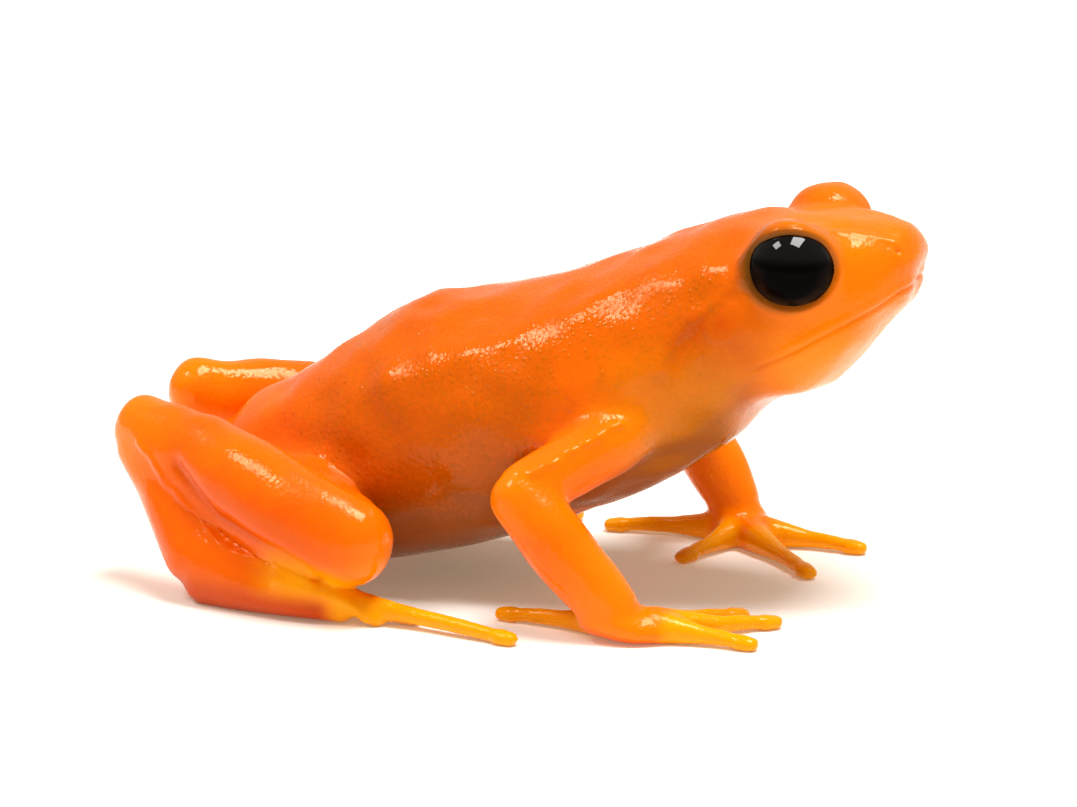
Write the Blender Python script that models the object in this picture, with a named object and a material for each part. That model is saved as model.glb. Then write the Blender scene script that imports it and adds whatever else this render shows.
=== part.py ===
"""A life-size golden mantella frog, sitting with its chest raised.

The frog faces +X, its left side is +Y and the floor is z = 0. Sizes are written in millimetres, as a
naturalist would measure them, and each finished mesh is scaled to metres. The origin is on the floor,
under the middle of the frog.
"""

import math

import bmesh
import bpy
import numpy as np
from mathutils import Matrix, Vector

MM = 0.001
GAP = 0.3
BODY_SIDES = 28
LIMB_SIDES = 14
DIGIT_SIDES = 8
LIMB_RINGS_PER_SECTION = 2
LIMB_CAP_ANGLES = (33, 66)
BODY_CAP_ANGLES = (24, 48, 72)
SHARP_ANGLE = 40
WELD_DISTANCE = 1e-5
CUTTER_REACH = 20.0

# Body sections, from the vent to the snout: the back line (x, z), the belly line (x, z), the half width,
# how far up the section it is widest, and how square it is (2 is an ellipse).
BODY_SECTIONS = (
    ((-10.75, 4.75), (-10.35, 2.4), 1.7, 0.50, 2.0),
    ((-10.0, 5.5), (-9.4, 1.4), 2.6, 0.48, 2.1),
    ((-8.3, 6.6), (-7.4, 0.65), 3.5, 0.46, 2.1),
    ((-6.4, 7.85), (-5.3, 0.45), 4.2, 0.44, 2.1),
    ((-4.1, 9.3), (-3.0, 0.9), 4.8, 0.43, 2.1),
    ((-1.5, 9.85), (-0.6, 1.6), 5.15, 0.44, 2.1),
    ((1.2, 10.6), (2.0, 2.6), 5.05, 0.45, 2.1),
    ((3.5, 11.45), (4.3, 3.65), 4.7, 0.46, 2.1),
    ((5.5, 12.35), (6.8, 5.2), 4.2, 0.44, 2.15),
    ((7.3, 12.85), (8.15, 6.72), 4.1, 0.40, 2.2),
    ((9.2, 13.0), (10.0, 7.34), 3.7, 0.38, 2.3),
    ((10.9, 13.05), (11.32, 8.7), 2.9, 0.40, 2.3),
    ((12.15, 12.8), (12.3, 9.88), 2.05, 0.44, 2.3),
)
NECK_SECTION = 8
NECK_OVERCUT = 1.0
BODY_RINGS_PER_SECTION = 2
RUMP_ROUNDING = 0.9
SNOUT_ROUNDING = 0.9

# Limbs, from root to tip: x, y, z, half width across the limb and half height of its section. The two
# sides differ a little. The thigh is written for the left side and mirrored for the right.
UPPER_ARM_RIGHT = (
    (4.3, -3.2, 6.7, 1.25, 1.25),
    (3.2, -5.0, 5.7, 1.0, 1.1),
    (1.3, -6.5, 4.65, 0.9, 0.95),
)
FOREARM_RIGHT = (
    (1.2, -6.75, 4.4, 0.95, 0.98),
    (2.5, -7.0, 3.05, 1.05, 1.12),
    (3.65, -7.1, 1.8, 0.98, 1.04),
    (4.3, -7.1, 1.1, 0.9, 0.92),
)
UPPER_ARM_LEFT = (
    (4.5, 3.2, 6.7, 1.25, 1.25),
    (4.1, 5.0, 5.8, 1.0, 1.1),
    (3.4, 6.5, 4.7, 0.9, 0.95),
)
FOREARM_LEFT = (
    (3.3, 6.65, 4.45, 0.95, 1.0),
    (3.95, 6.8, 3.3, 1.0, 1.05),
    (4.6, 6.75, 2.3, 0.95, 1.03),
    (5.15, 6.6, 1.4, 0.85, 0.88),
)
THIGH = (
    (-8.6, 2.0, 3.0, 1.6, 1.6),
    (-7.3, 3.9, 2.95, 1.6, 1.65),
    (-5.9, 5.5, 3.0, 1.4, 1.5),
    (-4.7, 6.7, 3.0, 1.2, 1.3),
)
SHANK_RIGHT = (
    (-4.3, -7.25, 2.7, 1.3, 1.45),
    (-6.2, -6.8, 3.25, 1.4, 1.65),
    (-8.4, -5.8, 3.97, 1.4, 1.68),
    (-10.6, -4.6, 4.62, 1.2, 1.45),
    (-12.7, -3.3, 5.0, 1.05, 1.17),
)
SHANK_LEFT = (
    (-4.3, 7.25, 2.7, 1.3, 1.45),
    (-6.2, 6.8, 3.25, 1.4, 1.65),
    (-8.5, 5.8, 3.87, 1.4, 1.6),
    (-10.8, 4.6, 4.42, 1.2, 1.38),
    (-13.0, 3.3, 4.81, 1.05, 1.15),
)
TARSUS_RIGHT = (
    (-12.7, -3.6, 4.56, 0.88, 0.98),
    (-11.9, -4.25, 3.62, 0.84, 1.03),
    (-11.0, -5.0, 2.52, 0.95, 1.13),
    (-10.2, -5.6, 1.6, 1.1, 1.16),
)
TARSUS_LEFT = (
    (-13.0, 3.6, 4.41, 0.88, 0.98),
    (-12.1, 4.25, 3.52, 0.84, 1.03),
    (-11.1, 5.0, 2.47, 0.95, 1.13),
    (-10.2, 5.6, 1.6, 1.1, 1.16),
)

# Hands and feet: where the palm or sole lies, as the limbs above, and for each digit its root, its bend
# and its tip, and how many times as thick its root is. The tips rest on the floor.
DIGIT_REST = 0.22
DIGIT_HALF_WIDTH = 0.28
DIGIT_HALF_HEIGHT = 0.26
PAD_HALF_WIDTH = 0.34
PAD_LENGTH = 0.3
DIGIT_ARCH = 0.03
HAND_RIGHT = {
    "palm": ((4.0, -7.05, 0.95, 0.95, 0.85), (4.9, -6.95, 0.54, 1.05, 0.58), (5.9, -6.65, 0.38, 0.9, 0.42)),
    "digits": (
        ((4.4, -6.75, 0.5), (2.5, -6.2, 0.34), (0.35, -5.65), 2.0),
        ((5.2, -6.5, 0.5), (6.5, -5.1, 0.34), (7.85, -3.8), 1.7),
        ((5.5, -6.6, 0.5), (7.5, -5.6, 0.36), (9.1, -4.4), 2.0),
        ((5.6, -6.9, 0.5), (7.4, -7.0, 0.36), (8.95, -7.2), 2.0),
    ),
}
HAND_LEFT = {
    "palm": ((5.3, 6.5, 1.0, 0.85, 0.8), (5.7, 6.25, 0.54, 1.05, 0.58), (6.2, 5.85, 0.38, 0.95, 0.42)),
    "digits": (
        ((5.3, 6.2, 0.5), (3.0, 6.6, 0.34), (0.9, 6.5), 2.0),
        ((5.5, 5.9, 0.5), (4.9, 4.4, 0.34), (4.3, 2.9), 2.0),
        ((5.9, 5.6, 0.5), (7.4, 3.8, 0.34), (8.8, 2.0), 2.0),
        ((6.2, 5.9, 0.5), (8.0, 5.9, 0.34), (9.75, 5.6), 2.0),
    ),
}
FOOT_RIGHT = {
    "palm": (
        (-9.6, -5.95, 1.25, 1.0, 1.4),
        (-8.2, -6.4, 1.0, 1.0, 1.12),
        (-6.3, -7.0, 0.72, 0.86, 0.72),
        (-4.7, -7.3, 0.42, 0.5, 0.4),
    ),
    "digits": (
        ((-8.2, -5.9, 0.7), (-7.2, -5.2, 0.4), (-6.1, -4.8), 1.5),
        ((-7.4, -6.3, 0.7), (-5.8, -5.8, 0.4), (-4.3, -5.6), 1.5),
        ((-6.6, -6.6, 0.8), (-4.4, -6.7, 0.5), (-2.4, -7.0), 1.5),
        ((-6.2, -6.9, 0.9), (-2.6, -7.3, 0.45), (1.3, -8.6), 1.9),
        ((-6.9, -7.2, 1.3), (-5.0, -7.6, 0.95), (-3.4, -7.6), 1.9),
    ),
}
FOOT_LEFT = {
    "palm": (
        (-9.6, 5.95, 1.25, 1.0, 1.4),
        (-8.2, 6.35, 1.0, 1.0, 1.12),
        (-6.4, 6.9, 0.72, 0.86, 0.72),
        (-4.8, 7.2, 0.42, 0.5, 0.4),
    ),
    "digits": (
        ((-8.3, 5.8, 0.7), (-7.4, 5.0, 0.4), (-6.4, 4.6), 1.5),
        ((-7.5, 6.1, 0.7), (-5.9, 5.3, 0.4), (-4.3, 4.9), 1.5),
        ((-6.7, 6.4, 0.8), (-4.6, 6.2, 0.5), (-2.7, 6.3), 1.5),
        ((-6.3, 6.9, 0.9), (-3.6, 7.1, 0.45), (-0.7, 7.6), 1.9),
        ((-6.7, 7.1, 1.25), (-5.1, 7.5, 0.85), (-3.7, 7.7), 1.9),
    ),
}

# The head's own features.
EYE_CENTRE = (9.25, 2.82, 11.74)
EYE_RADIUS = 1.42
EYE_GAP = 0.12
LID_RADIUS = 1.7
OPENING_HALF_LENGTH = 1.38
OPENING_HALF_HEIGHT = 1.17
OPENING_START = 0.45
OPENING_END = 3.0
OPENING_FLARE = 1.9
GAZE_TURN = 12.0
GAZE_LIFT = 4.0
NOSTRIL_CENTRE = (12.4, 1.3, 12.1)
NOSTRIL_RADIUS = 0.2
MOUTH_FRONT = (13.3, 11.1)
MOUTH_BACK = (7.9, 8.3)
MOUTH_WIDTH = 0.16
MOUTH_DEPTH = 0.35
MOUTH_OVERHANG = 1.0
MOUTH_REACH = 6.0
LIP_WIDTH = 0.5
LIP_HEIGHT = 0.07
EARDRUM_PLACE = (7.2, 4.1, 10.05)
EARDRUM_RADIUS = 0.6
EARDRUM_FLATNESS = 0.5
EARDRUM_HEIGHT = 0.1

SKIN_COLOUR = (1.0, 0.22, 0.005, 1.0)
DIGIT_COLOUR = (1.0, 0.36, 0.01, 1.0)
EYE_COLOUR = (0.012, 0.008, 0.006, 1.0)


def clear_scene():
    for old in list(bpy.data.objects):
        bpy.data.objects.remove(old)


def make_collection(name):
    collection = bpy.data.collections.new(name)
    bpy.context.scene.collection.children.link(collection)
    return collection


def make_material(name, colour, roughness):
    material = bpy.data.materials.new(name)
    material.use_nodes = True
    shader = material.node_tree.nodes["Principled BSDF"]
    shader.inputs["Base Color"].default_value = colour
    shader.inputs["Roughness"].default_value = roughness
    shader.inputs["Metallic"].default_value = 0.0
    return material


def sampled(rows, per_span):
    """Rows of numbers with more put between them, along one smooth curve through all of them."""
    rows = np.array(rows, float)
    ends = 2 * rows[0] - rows[1], 2 * rows[-1] - rows[-2]
    padded = np.vstack([ends[0], rows, ends[1]])
    made = []
    for i in range(len(rows) - 1):
        before, here, there, after = padded[i : i + 4]
        for k in range(per_span):
            t = k / per_span
            lead_in, lead_out = (there - before) / 2, (after - here) / 2
            made.append(
                (2 * t**3 - 3 * t**2 + 1) * here
                + (t**3 - 2 * t**2 + t) * lead_in
                + (3 * t**2 - 2 * t**3) * there
                + (t**3 - t**2) * lead_out
            )
    made.append(rows[-1])
    return np.array(made)


def ring_points(centre, across, upward, half_width, rise, drop, squareness, sides):
    """One closed section: an ellipse, or a squarer oval, with its own height above and below."""
    points = []
    for k in range(sides):
        angle = 2 * math.pi * k / sides
        c, s = math.cos(angle), math.sin(angle)
        u = math.copysign(abs(c) ** (2 / squareness), c) * half_width
        v = math.copysign(abs(s) ** (2 / squareness), s) * (rise if s > 0 else drop)
        points.append(centre + across * u + upward * v)
    return points


def loft_mesh(name, rings, first_pole, last_pole):
    """A closed mesh through the rings, with each end drawn in to its pole."""
    bm = bmesh.new()
    loops = [[bm.verts.new(p) for p in ring] for ring in rings]
    poles = bm.verts.new(first_pole), bm.verts.new(last_pole)
    sides = len(loops[0])
    for near, far in zip(loops, loops[1:]):
        for k in range(sides):
            j = (k + 1) % sides
            bm.faces.new((near[k], near[j], far[j], far[k]))
    for k in range(sides):
        j = (k + 1) % sides
        bm.faces.new((poles[0], loops[0][j], loops[0][k]))
        bm.faces.new((poles[1], loops[-1][k], loops[-1][j]))
    bmesh.ops.recalc_face_normals(bm, faces=bm.faces)
    mesh = bpy.data.meshes.new(name)
    bm.to_mesh(mesh)
    bm.free()
    return mesh


def add_object(name, mesh, collection):
    obj = bpy.data.objects.new(name, mesh)
    collection.objects.link(obj)
    return obj


def body_loft(name, first, last, collection, grow=0.0, round_rump=False, round_snout=False):
    """The body between two of its sections. grow moves the whole surface outwards."""
    columns = [(*top, *belly, width, waist, square) for top, belly, width, waist, square in BODY_SECTIONS]
    rows = sampled(columns, BODY_RINGS_PER_SECTION)
    rows = rows[round(first * BODY_RINGS_PER_SECTION) : round(last * BODY_RINGS_PER_SECTION) + 1]
    across = Vector((0, 1, 0))
    rings, middles = [], []

    def add_ring(row, push, share):
        top, belly = Vector((row[0], 0, row[1])), Vector((row[2], 0, row[3]))
        height = (top - belly).length
        upward = (top - belly) / height
        middle = (top + belly) / 2 + push
        centre = middle + upward * height * (row[5] - 0.5) * share
        rise = (height * (1 - row[5]) + grow) * share
        drop = (height * row[5] + grow) * share
        width = (row[4] + grow) * share
        rings.append(ring_points(centre, across, upward, width, rise, drop, row[6], BODY_SIDES))
        middles.append(middle)

    def forward_at(row):
        lean = Vector((row[0] - row[2], 0, row[1] - row[3])).normalized()
        return across.cross(lean)

    rump, snout = forward_at(rows[0]), forward_at(rows[-1])
    if round_rump:
        for angle in reversed(BODY_CAP_ANGLES):
            turn = math.radians(angle)
            depth = -(RUMP_ROUNDING + grow) * math.sin(turn)
            add_ring(rows[0], rump * depth, math.cos(turn))
    for row in rows:
        add_ring(row, Vector((0, 0, 0)), 1.0)
    if round_snout:
        for angle in BODY_CAP_ANGLES:
            turn = math.radians(angle)
            depth = (SNOUT_ROUNDING + grow) * math.sin(turn)
            add_ring(rows[-1], snout * depth, math.cos(turn))
    first_pole, last_pole = middles[0], middles[-1]
    if round_rump:
        first_pole = middles[len(BODY_CAP_ANGLES)] - rump * (RUMP_ROUNDING + grow)
    if round_snout:
        last_pole = middles[-1 - len(BODY_CAP_ANGLES)] + snout * (SNOUT_ROUNDING + grow)
    return add_object(name, loft_mesh(name, rings, first_pole, last_pole), collection)


def limb_loft(name, table, collection, sides, per_span, grow=0.0):
    """A limb with rounded ends, from rows of x, y, z, half width and half height."""
    rows = sampled(table, per_span)
    places = [Vector(row[:3]) for row in rows]
    tangents = []
    for i in range(len(places)):
        ahead = places[min(i + 1, len(places) - 1)]
        behind = places[max(i - 1, 0)]
        tangents.append((ahead - behind).normalized())
    across = Vector((0, 0, 1)).cross(tangents[0])
    rings = []
    poles = []

    def add_ring(centre, tangent, half_width, half_height):
        nonlocal across
        across = (across - tangent * across.dot(tangent)).normalized()
        upward = tangent.cross(across)
        rings.append(ring_points(centre, across, upward, half_width, half_height, half_height, 2.0, sides))

    root_depth = min(rows[0][3:5]) + grow
    tip_depth = min(rows[-1][3:5]) + grow
    poles.append(places[0] - tangents[0] * root_depth)
    for angle in reversed(LIMB_CAP_ANGLES):
        turn = math.radians(angle)
        centre = places[0] - tangents[0] * root_depth * math.sin(turn)
        size = (rows[0][3:5] + grow) * math.cos(turn)
        add_ring(centre, tangents[0], *size)
    for row, place, tangent in zip(rows, places, tangents):
        add_ring(place, tangent, row[3] + grow, row[4] + grow)
    for angle in LIMB_CAP_ANGLES:
        turn = math.radians(angle)
        centre = places[-1] + tangents[-1] * tip_depth * math.sin(turn)
        size = (rows[-1][3:5] + grow) * math.cos(turn)
        add_ring(centre, tangents[-1], *size)
    poles.append(places[-1] + tangents[-1] * tip_depth)
    return add_object(name, loft_mesh(name, rings, *poles), collection)


def sphere(name, centre, radius, collection, segments=20, rings=14, stretch=(1, 1, 1)):
    bm = bmesh.new()
    bmesh.ops.create_uvsphere(bm, u_segments=segments, v_segments=rings, radius=radius)
    bmesh.ops.scale(bm, vec=stretch, verts=bm.verts)
    bmesh.ops.translate(bm, vec=centre, verts=bm.verts)
    mesh = bpy.data.meshes.new(name)
    bm.to_mesh(mesh)
    bm.free()
    return add_object(name, mesh, collection)


def box(name, low, high, collection):
    bm = bmesh.new()
    bmesh.ops.create_cube(bm, size=1)
    low, high = Vector(low), Vector(high)
    bmesh.ops.scale(bm, vec=high - low, verts=bm.verts)
    bmesh.ops.translate(bm, vec=(low + high) / 2, verts=bm.verts)
    mesh = bpy.data.meshes.new(name)
    bm.to_mesh(mesh)
    bm.free()
    return add_object(name, mesh, collection)


def tube(name, start, end, start_radius, end_radius, collection, sides=20):
    """A straight tapered cylinder between two points."""
    start, end = Vector(start), Vector(end)
    bm = bmesh.new()
    bmesh.ops.create_cone(
        bm,
        cap_ends=True,
        segments=sides,
        radius1=start_radius,
        radius2=end_radius,
        depth=(end - start).length,
    )
    turn = (end - start).to_track_quat("Z", "Y").to_matrix().to_4x4()
    bmesh.ops.transform(bm, matrix=Matrix.Translation((start + end) / 2) @ turn, verts=bm.verts)
    mesh = bpy.data.meshes.new(name)
    bm.to_mesh(mesh)
    bm.free()
    return add_object(name, mesh, collection)


def apply_boolean(target, others, operation):
    """Joins the other pieces to the target, or cuts them from it, and applies the result."""
    group = bpy.data.collections.new("boolean_group")
    for other in others:
        group.objects.link(other)
    modifier = target.modifiers.new("join_or_cut", "BOOLEAN")
    modifier.operation = operation
    modifier.operand_type = "COLLECTION"
    modifier.collection = group
    modifier.solver = "EXACT"
    bpy.context.view_layer.update()
    evaluated = target.evaluated_get(bpy.context.evaluated_depsgraph_get())
    made = bpy.data.meshes.new_from_object(evaluated)
    target.modifiers.remove(modifier)
    target.data = made
    bpy.data.collections.remove(group)
    for other in others:
        bpy.data.objects.remove(other)


def keep_largest(obj):
    """Leaves only the largest of the object's closed surfaces."""
    bm = bmesh.new()
    bm.from_mesh(obj.data)
    bmesh.ops.remove_doubles(bm, verts=bm.verts, dist=WELD_DISTANCE)
    bmesh.ops.triangulate(bm, faces=bm.faces)
    unseen = set(bm.faces)
    groups = []
    while unseen:
        queue = [unseen.pop()]
        group = set(queue)
        while queue:
            for edge in queue.pop().edges:
                for face in edge.link_faces:
                    if face in unseen:
                        unseen.remove(face)
                        group.add(face)
                        queue.append(face)
        groups.append(group)
    groups.sort(key=lambda group: sum(face.calc_area() for face in group))
    for group in groups[:-1]:
        bmesh.ops.delete(bm, geom=list(group), context="FACES")
    loose = [v for v in bm.verts if not v.link_faces]
    bmesh.ops.delete(bm, geom=loose, context="VERTS")
    bm.to_mesh(obj.data)
    bm.free()


def mirrored(table):
    """A limb's table for the right side, from the one for the left."""
    return tuple((x, -y, z, width, height) for x, y, z, width, height in table)


def on_side(point, side):
    x, y, z = point
    return Vector((x, side * y, z))


def digit_table(root, bend, tip, growth):
    """A digit that leaves the palm thick, comes down to the floor and ends in a round pad."""
    root, bend, tip = Vector(root), Vector(bend), Vector((*tip, DIGIT_REST))
    along = (tip - bend).normalized()
    wide, high = DIGIT_HALF_WIDTH, DIGIT_HALF_HEIGHT
    between = (1 + growth) / 2
    return (
        (*root, wide * growth, high * growth),
        (*((root + bend) / 2), wide * between, high * between),
        (*bend, wide, high),
        (*((bend + tip) / 2 + Vector((0, 0, DIGIT_ARCH))), wide, high),
        (*(tip - along * PAD_LENGTH), PAD_HALF_WIDTH, high),
        (*tip, (wide + PAD_HALF_WIDTH) / 2, high),
    )


def digit_loft(name, stops, collection, grow=0.0):
    return limb_loft(name, digit_table(*stops), collection, DIGIT_SIDES, 1, grow)


def palm_loft(name, sizes, collection, grow=0.0):
    return limb_loft(name, sizes["palm"], collection, LIMB_SIDES, LIMB_RINGS_PER_SECTION, grow)


def make_hand(name, sizes, collection, scratch):
    """The palm or sole with its digits, joined into one closed body."""
    palm = palm_loft(name, sizes, collection)
    digits = [digit_loft("digit", stops, scratch) for stops in sizes["digits"]]
    apply_boolean(palm, digits, "UNION")
    return palm


def grown_hand(sizes, scratch):
    """The pieces of a palm or sole and its digits, thicker by the gap, to cut the limb above with."""
    digits = [digit_loft("grown", stops, scratch, GAP) for stops in sizes["digits"]]
    return [palm_loft("grown", sizes, scratch, GAP), *digits]


def floor_cut(obj, scratch):
    """Trims what would sink under the floor, which leaves a small flat at z = 0."""
    reach = CUTTER_REACH
    under = box("under_floor", (-reach, -reach, -reach), (reach, reach, 0), scratch)
    apply_boolean(obj, [under], "DIFFERENCE")


def gaze(side):
    """The way an eye looks: out to its side, turned a little forwards and up."""
    turn, lift = math.radians(GAZE_TURN), math.radians(GAZE_LIFT)
    flat = math.cos(lift)
    return Vector((math.sin(turn) * flat, side * math.cos(turn) * flat, math.sin(lift)))


def lid_opening(side, scratch):
    """The almond between the lids: a flaring cone along the gaze, lower than it is long."""
    centre, way = on_side(EYE_CENTRE, side), gaze(side)
    cone = tube(
        "lid_opening",
        way * OPENING_START,
        way * OPENING_END,
        OPENING_HALF_LENGTH,
        OPENING_HALF_LENGTH * OPENING_FLARE,
        scratch,
        16,
    )
    cone.data.transform(Matrix.Diagonal((1, 1, OPENING_HALF_HEIGHT / OPENING_HALF_LENGTH, 1)))
    cone.data.transform(Matrix.Translation(centre))
    return cone


def eardrum(side, head, scratch):
    """A thin round plate that lies on the skin behind the eye."""
    _, place, normal, _ = head.closest_point_on_mesh(on_side(EARDRUM_PLACE, side))
    drum = sphere("eardrum", (0, 0, 0), EARDRUM_RADIUS, scratch, 14, 8, (1, 1, EARDRUM_FLATNESS))
    turn = normal.to_track_quat("Z", "Y").to_matrix().to_4x4()
    sunk = place - normal * (EARDRUM_RADIUS * EARDRUM_FLATNESS - EARDRUM_HEIGHT)
    drum.data.transform(Matrix.Translation(sunk) @ turn)
    return drum


def mouth_slab(name, width, scratch):
    """A flat slab in the plane where the jaws meet, from the corners of the mouth to past the snout."""
    front, back = Vector((MOUTH_FRONT[0], 0, MOUTH_FRONT[1])), Vector((MOUTH_BACK[0], 0, MOUTH_BACK[1]))
    length = (front - back).length + MOUTH_OVERHANG
    slab = box(name, (0, -MOUTH_REACH, -width / 2), (length, MOUTH_REACH, width / 2), scratch)
    pitch = math.atan2(front.z - back.z, front.x - back.x)
    slab.data.transform(Matrix.Translation(back) @ Matrix.Rotation(-pitch, 4, "Y"))
    return slab


def make_head(collection, scratch):
    last = len(BODY_SECTIONS) - 1
    head = body_loft("head", NECK_SECTION, last, collection, round_snout=True)
    lips = body_loft("lips", NECK_SECTION, last, scratch, grow=LIP_HEIGHT, round_snout=True)
    apply_boolean(lips, [mouth_slab("lip_band", LIP_WIDTH, scratch)], "INTERSECT")
    raised = [lips]
    for side in (1, -1):
        raised.append(sphere("lid", on_side(EYE_CENTRE, side), LID_RADIUS, scratch, 20, 12))
        raised.append(eardrum(side, head, scratch))
    apply_boolean(head, raised, "UNION")
    neck_face = body_loft("neck_gap", NECK_SECTION - 1, NECK_SECTION, scratch, grow=NECK_OVERCUT)
    neck_face.data.transform(Matrix.Translation((GAP, 0, 0)))
    cutters = [neck_face]
    for side in (1, -1):
        cutters.append(sphere("socket", on_side(EYE_CENTRE, side), EYE_RADIUS + EYE_GAP, scratch, 20, 14))
        cutters.append(lid_opening(side, scratch))
        cutters.append(sphere("nostril", on_side(NOSTRIL_CENTRE, side), NOSTRIL_RADIUS, scratch, 8, 6))
    apply_boolean(head, cutters, "DIFFERENCE")
    core = body_loft("mouth_core", NECK_SECTION, last, scratch, grow=-MOUTH_DEPTH, round_snout=True)
    line = mouth_slab("mouth_line", MOUTH_WIDTH, scratch)
    apply_boolean(line, [core], "DIFFERENCE")
    apply_boolean(head, [line], "DIFFERENCE")
    return head


def make_torso(collection, scratch):
    torso = body_loft("torso", 0, NECK_SECTION, collection, round_rump=True)
    floor_cut(torso, scratch)
    return torso


def make_eye(name, side, collection):
    return sphere(name, on_side(EYE_CENTRE, side), EYE_RADIUS, collection, 20, 14)


def limb_piece(name, table, collection, grow=0.0):
    return limb_loft(name, table, collection, LIMB_SIDES, LIMB_RINGS_PER_SECTION, grow)


def grown_body(scratch):
    last = len(BODY_SECTIONS) - 1
    return body_loft("grown", 0, last, scratch, GAP, round_rump=True, round_snout=True)


def make_limbs(collection, scratch):
    """Each limb's pieces. Each is cut clear of the grown shapes of those that it meets."""
    arms = {"right": (UPPER_ARM_RIGHT, FOREARM_RIGHT), "left": (UPPER_ARM_LEFT, FOREARM_LEFT)}
    legs = {
        "right": (mirrored(THIGH), SHANK_RIGHT, TARSUS_RIGHT),
        "left": (THIGH, SHANK_LEFT, TARSUS_LEFT),
    }
    hands = {"right": HAND_RIGHT, "left": HAND_LEFT}
    feet = {"right": FOOT_RIGHT, "left": FOOT_LEFT}
    made = []
    for side_name in ("right", "left"):
        chains = (
            (("upper_arm", "forearm"), arms[side_name], "hand", hands[side_name]),
            (("thigh", "shank", "tarsus"), legs[side_name], "foot", feet[side_name]),
        )
        for names, tables, end_name, end_sizes in chains:
            for place, (name, table) in enumerate(zip(names, tables)):
                piece = limb_piece(f"{name}_{side_name}", table, collection)
                cutters = [grown_body(scratch)]
                cutters += [limb_piece("grown", earlier, scratch, GAP) for earlier in tables[:place]]
                if table is tables[-1]:
                    cutters += grown_hand(end_sizes, scratch)
                apply_boolean(piece, cutters, "DIFFERENCE")
                made.append(piece)
            end = make_hand(f"{end_name}_{side_name}", end_sizes, collection, scratch)
            upper = [limb_piece("grown", earlier, scratch, GAP) for earlier in tables[:-1]]
            apply_boolean(end, upper, "DIFFERENCE")
            floor_cut(end, scratch)
            made.append(end)
    return made


def finish(obj, material):
    """Scales a finished piece to metres and gives it its material."""
    keep_largest(obj)
    obj.data.transform(Matrix.Scale(MM, 4))
    obj.data.materials.clear()
    obj.data.materials.append(material)
    obj.data.shade_smooth()
    obj.data.set_sharp_from_angle(angle=math.radians(SHARP_ANGLE))


def main():
    clear_scene()
    frog = make_collection("golden_mantella")
    scratch = make_collection("cutters")
    skin = make_material("skin", SKIN_COLOUR, 0.35)
    digit_skin = make_material("digit_skin", DIGIT_COLOUR, 0.4)
    eye_surface = make_material("eye_surface", EYE_COLOUR, 0.05)
    body = [make_head(frog, scratch), make_torso(frog, scratch), *make_limbs(frog, scratch)]
    eyes = [make_eye("eye_right", -1, frog), make_eye("eye_left", 1, frog)]
    for piece in body:
        finish(piece, digit_skin if piece.name.startswith(("hand", "foot")) else skin)
    for eye in eyes:
        finish(eye, eye_surface)
    bpy.data.collections.remove(scratch)


main()
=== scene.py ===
# %% [markdown]
# # A golden mantella, life size
#
# This lesson builds the looks of a small orange frog, about 25 mm long, as a still museum model. The
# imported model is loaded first. It is the fixed frame that every piece is fitted to, and its solids stay
# where they are. A real frog is one wet skin over everything, with only the eyes set into it, so the
# plan is one skin for all the flesh, and two eyes.

import math

import bmesh
import bpy
import numpy as np
from mathutils import Matrix, Vector, noise


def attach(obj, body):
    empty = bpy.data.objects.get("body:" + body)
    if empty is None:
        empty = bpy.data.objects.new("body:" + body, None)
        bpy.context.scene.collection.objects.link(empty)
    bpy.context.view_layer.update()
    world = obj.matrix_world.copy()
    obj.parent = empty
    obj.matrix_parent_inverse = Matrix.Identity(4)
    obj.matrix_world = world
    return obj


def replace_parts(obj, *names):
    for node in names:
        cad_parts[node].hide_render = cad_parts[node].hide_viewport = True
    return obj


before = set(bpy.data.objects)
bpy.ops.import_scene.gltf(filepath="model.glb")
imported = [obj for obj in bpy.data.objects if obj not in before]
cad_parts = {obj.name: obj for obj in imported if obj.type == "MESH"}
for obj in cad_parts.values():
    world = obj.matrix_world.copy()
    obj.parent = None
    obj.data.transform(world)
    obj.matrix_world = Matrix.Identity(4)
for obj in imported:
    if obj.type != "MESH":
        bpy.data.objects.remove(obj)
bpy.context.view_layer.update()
MM = 0.001
print("nodes in the frame:", len(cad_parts))

# %% [markdown]
# ## The camera
#
# The picture looks at the frog's right side from a little above and a little in front. A long lens from
# about 22 cm keeps the near and the far leg almost the same size. The camera could be turned by hand
# until it fits, but its angles are written as numbers here, so each can be corrected on its own.

# %% Place the camera
VIEW_AZIMUTH = 15.0
VIEW_ELEVATION = 13.5
VIEW_DISTANCE = 220 * MM
VIEW_TARGET = Vector((0, 0, 5.96 * MM))
PIXELS_PER_MM = 30.0
PICTURE_WIDTH = 1077
SENSOR_WIDTH = 36.0


def view_direction(azimuth, elevation):
    """The way from the target back to a camera, with azimuth 0 looking along +Y."""
    turn, lift = math.radians(azimuth), math.radians(elevation)
    return Vector((math.sin(turn) * math.cos(lift), -math.cos(turn) * math.cos(lift), math.sin(lift)))


def new_object(name, data):
    made = bpy.data.objects.new(name, data)
    bpy.context.scene.collection.objects.link(made)
    return made


back = view_direction(VIEW_AZIMUTH, VIEW_ELEVATION)
camera = new_object("camera", bpy.data.cameras.new("camera"))
camera.location = VIEW_TARGET + back * VIEW_DISTANCE
camera.rotation_euler = back.to_track_quat("Z", "Y").to_euler()
camera.data.sensor_width = SENSOR_WIDTH
camera.data.lens = PIXELS_PER_MM / MM * VIEW_DISTANCE / PICTURE_WIDTH * SENSOR_WIDTH
camera.data.clip_start = 0.01
bpy.context.scene.camera = camera
print("lens:", round(camera.data.lens, 1), "mm")

# %% [markdown]
# ## The sizes of the frog
#
# All shapes are written in millimetres and scaled to metres at the very end, because small numbers such
# as 0.00025 are hard to read and easy to mistype. The frog faces +X and its left side is +Y. Its body is
# one long form from the vent to the snout, so a table of sections describes it best: where the back and
# the belly lie, and how wide the body is there.

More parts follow.
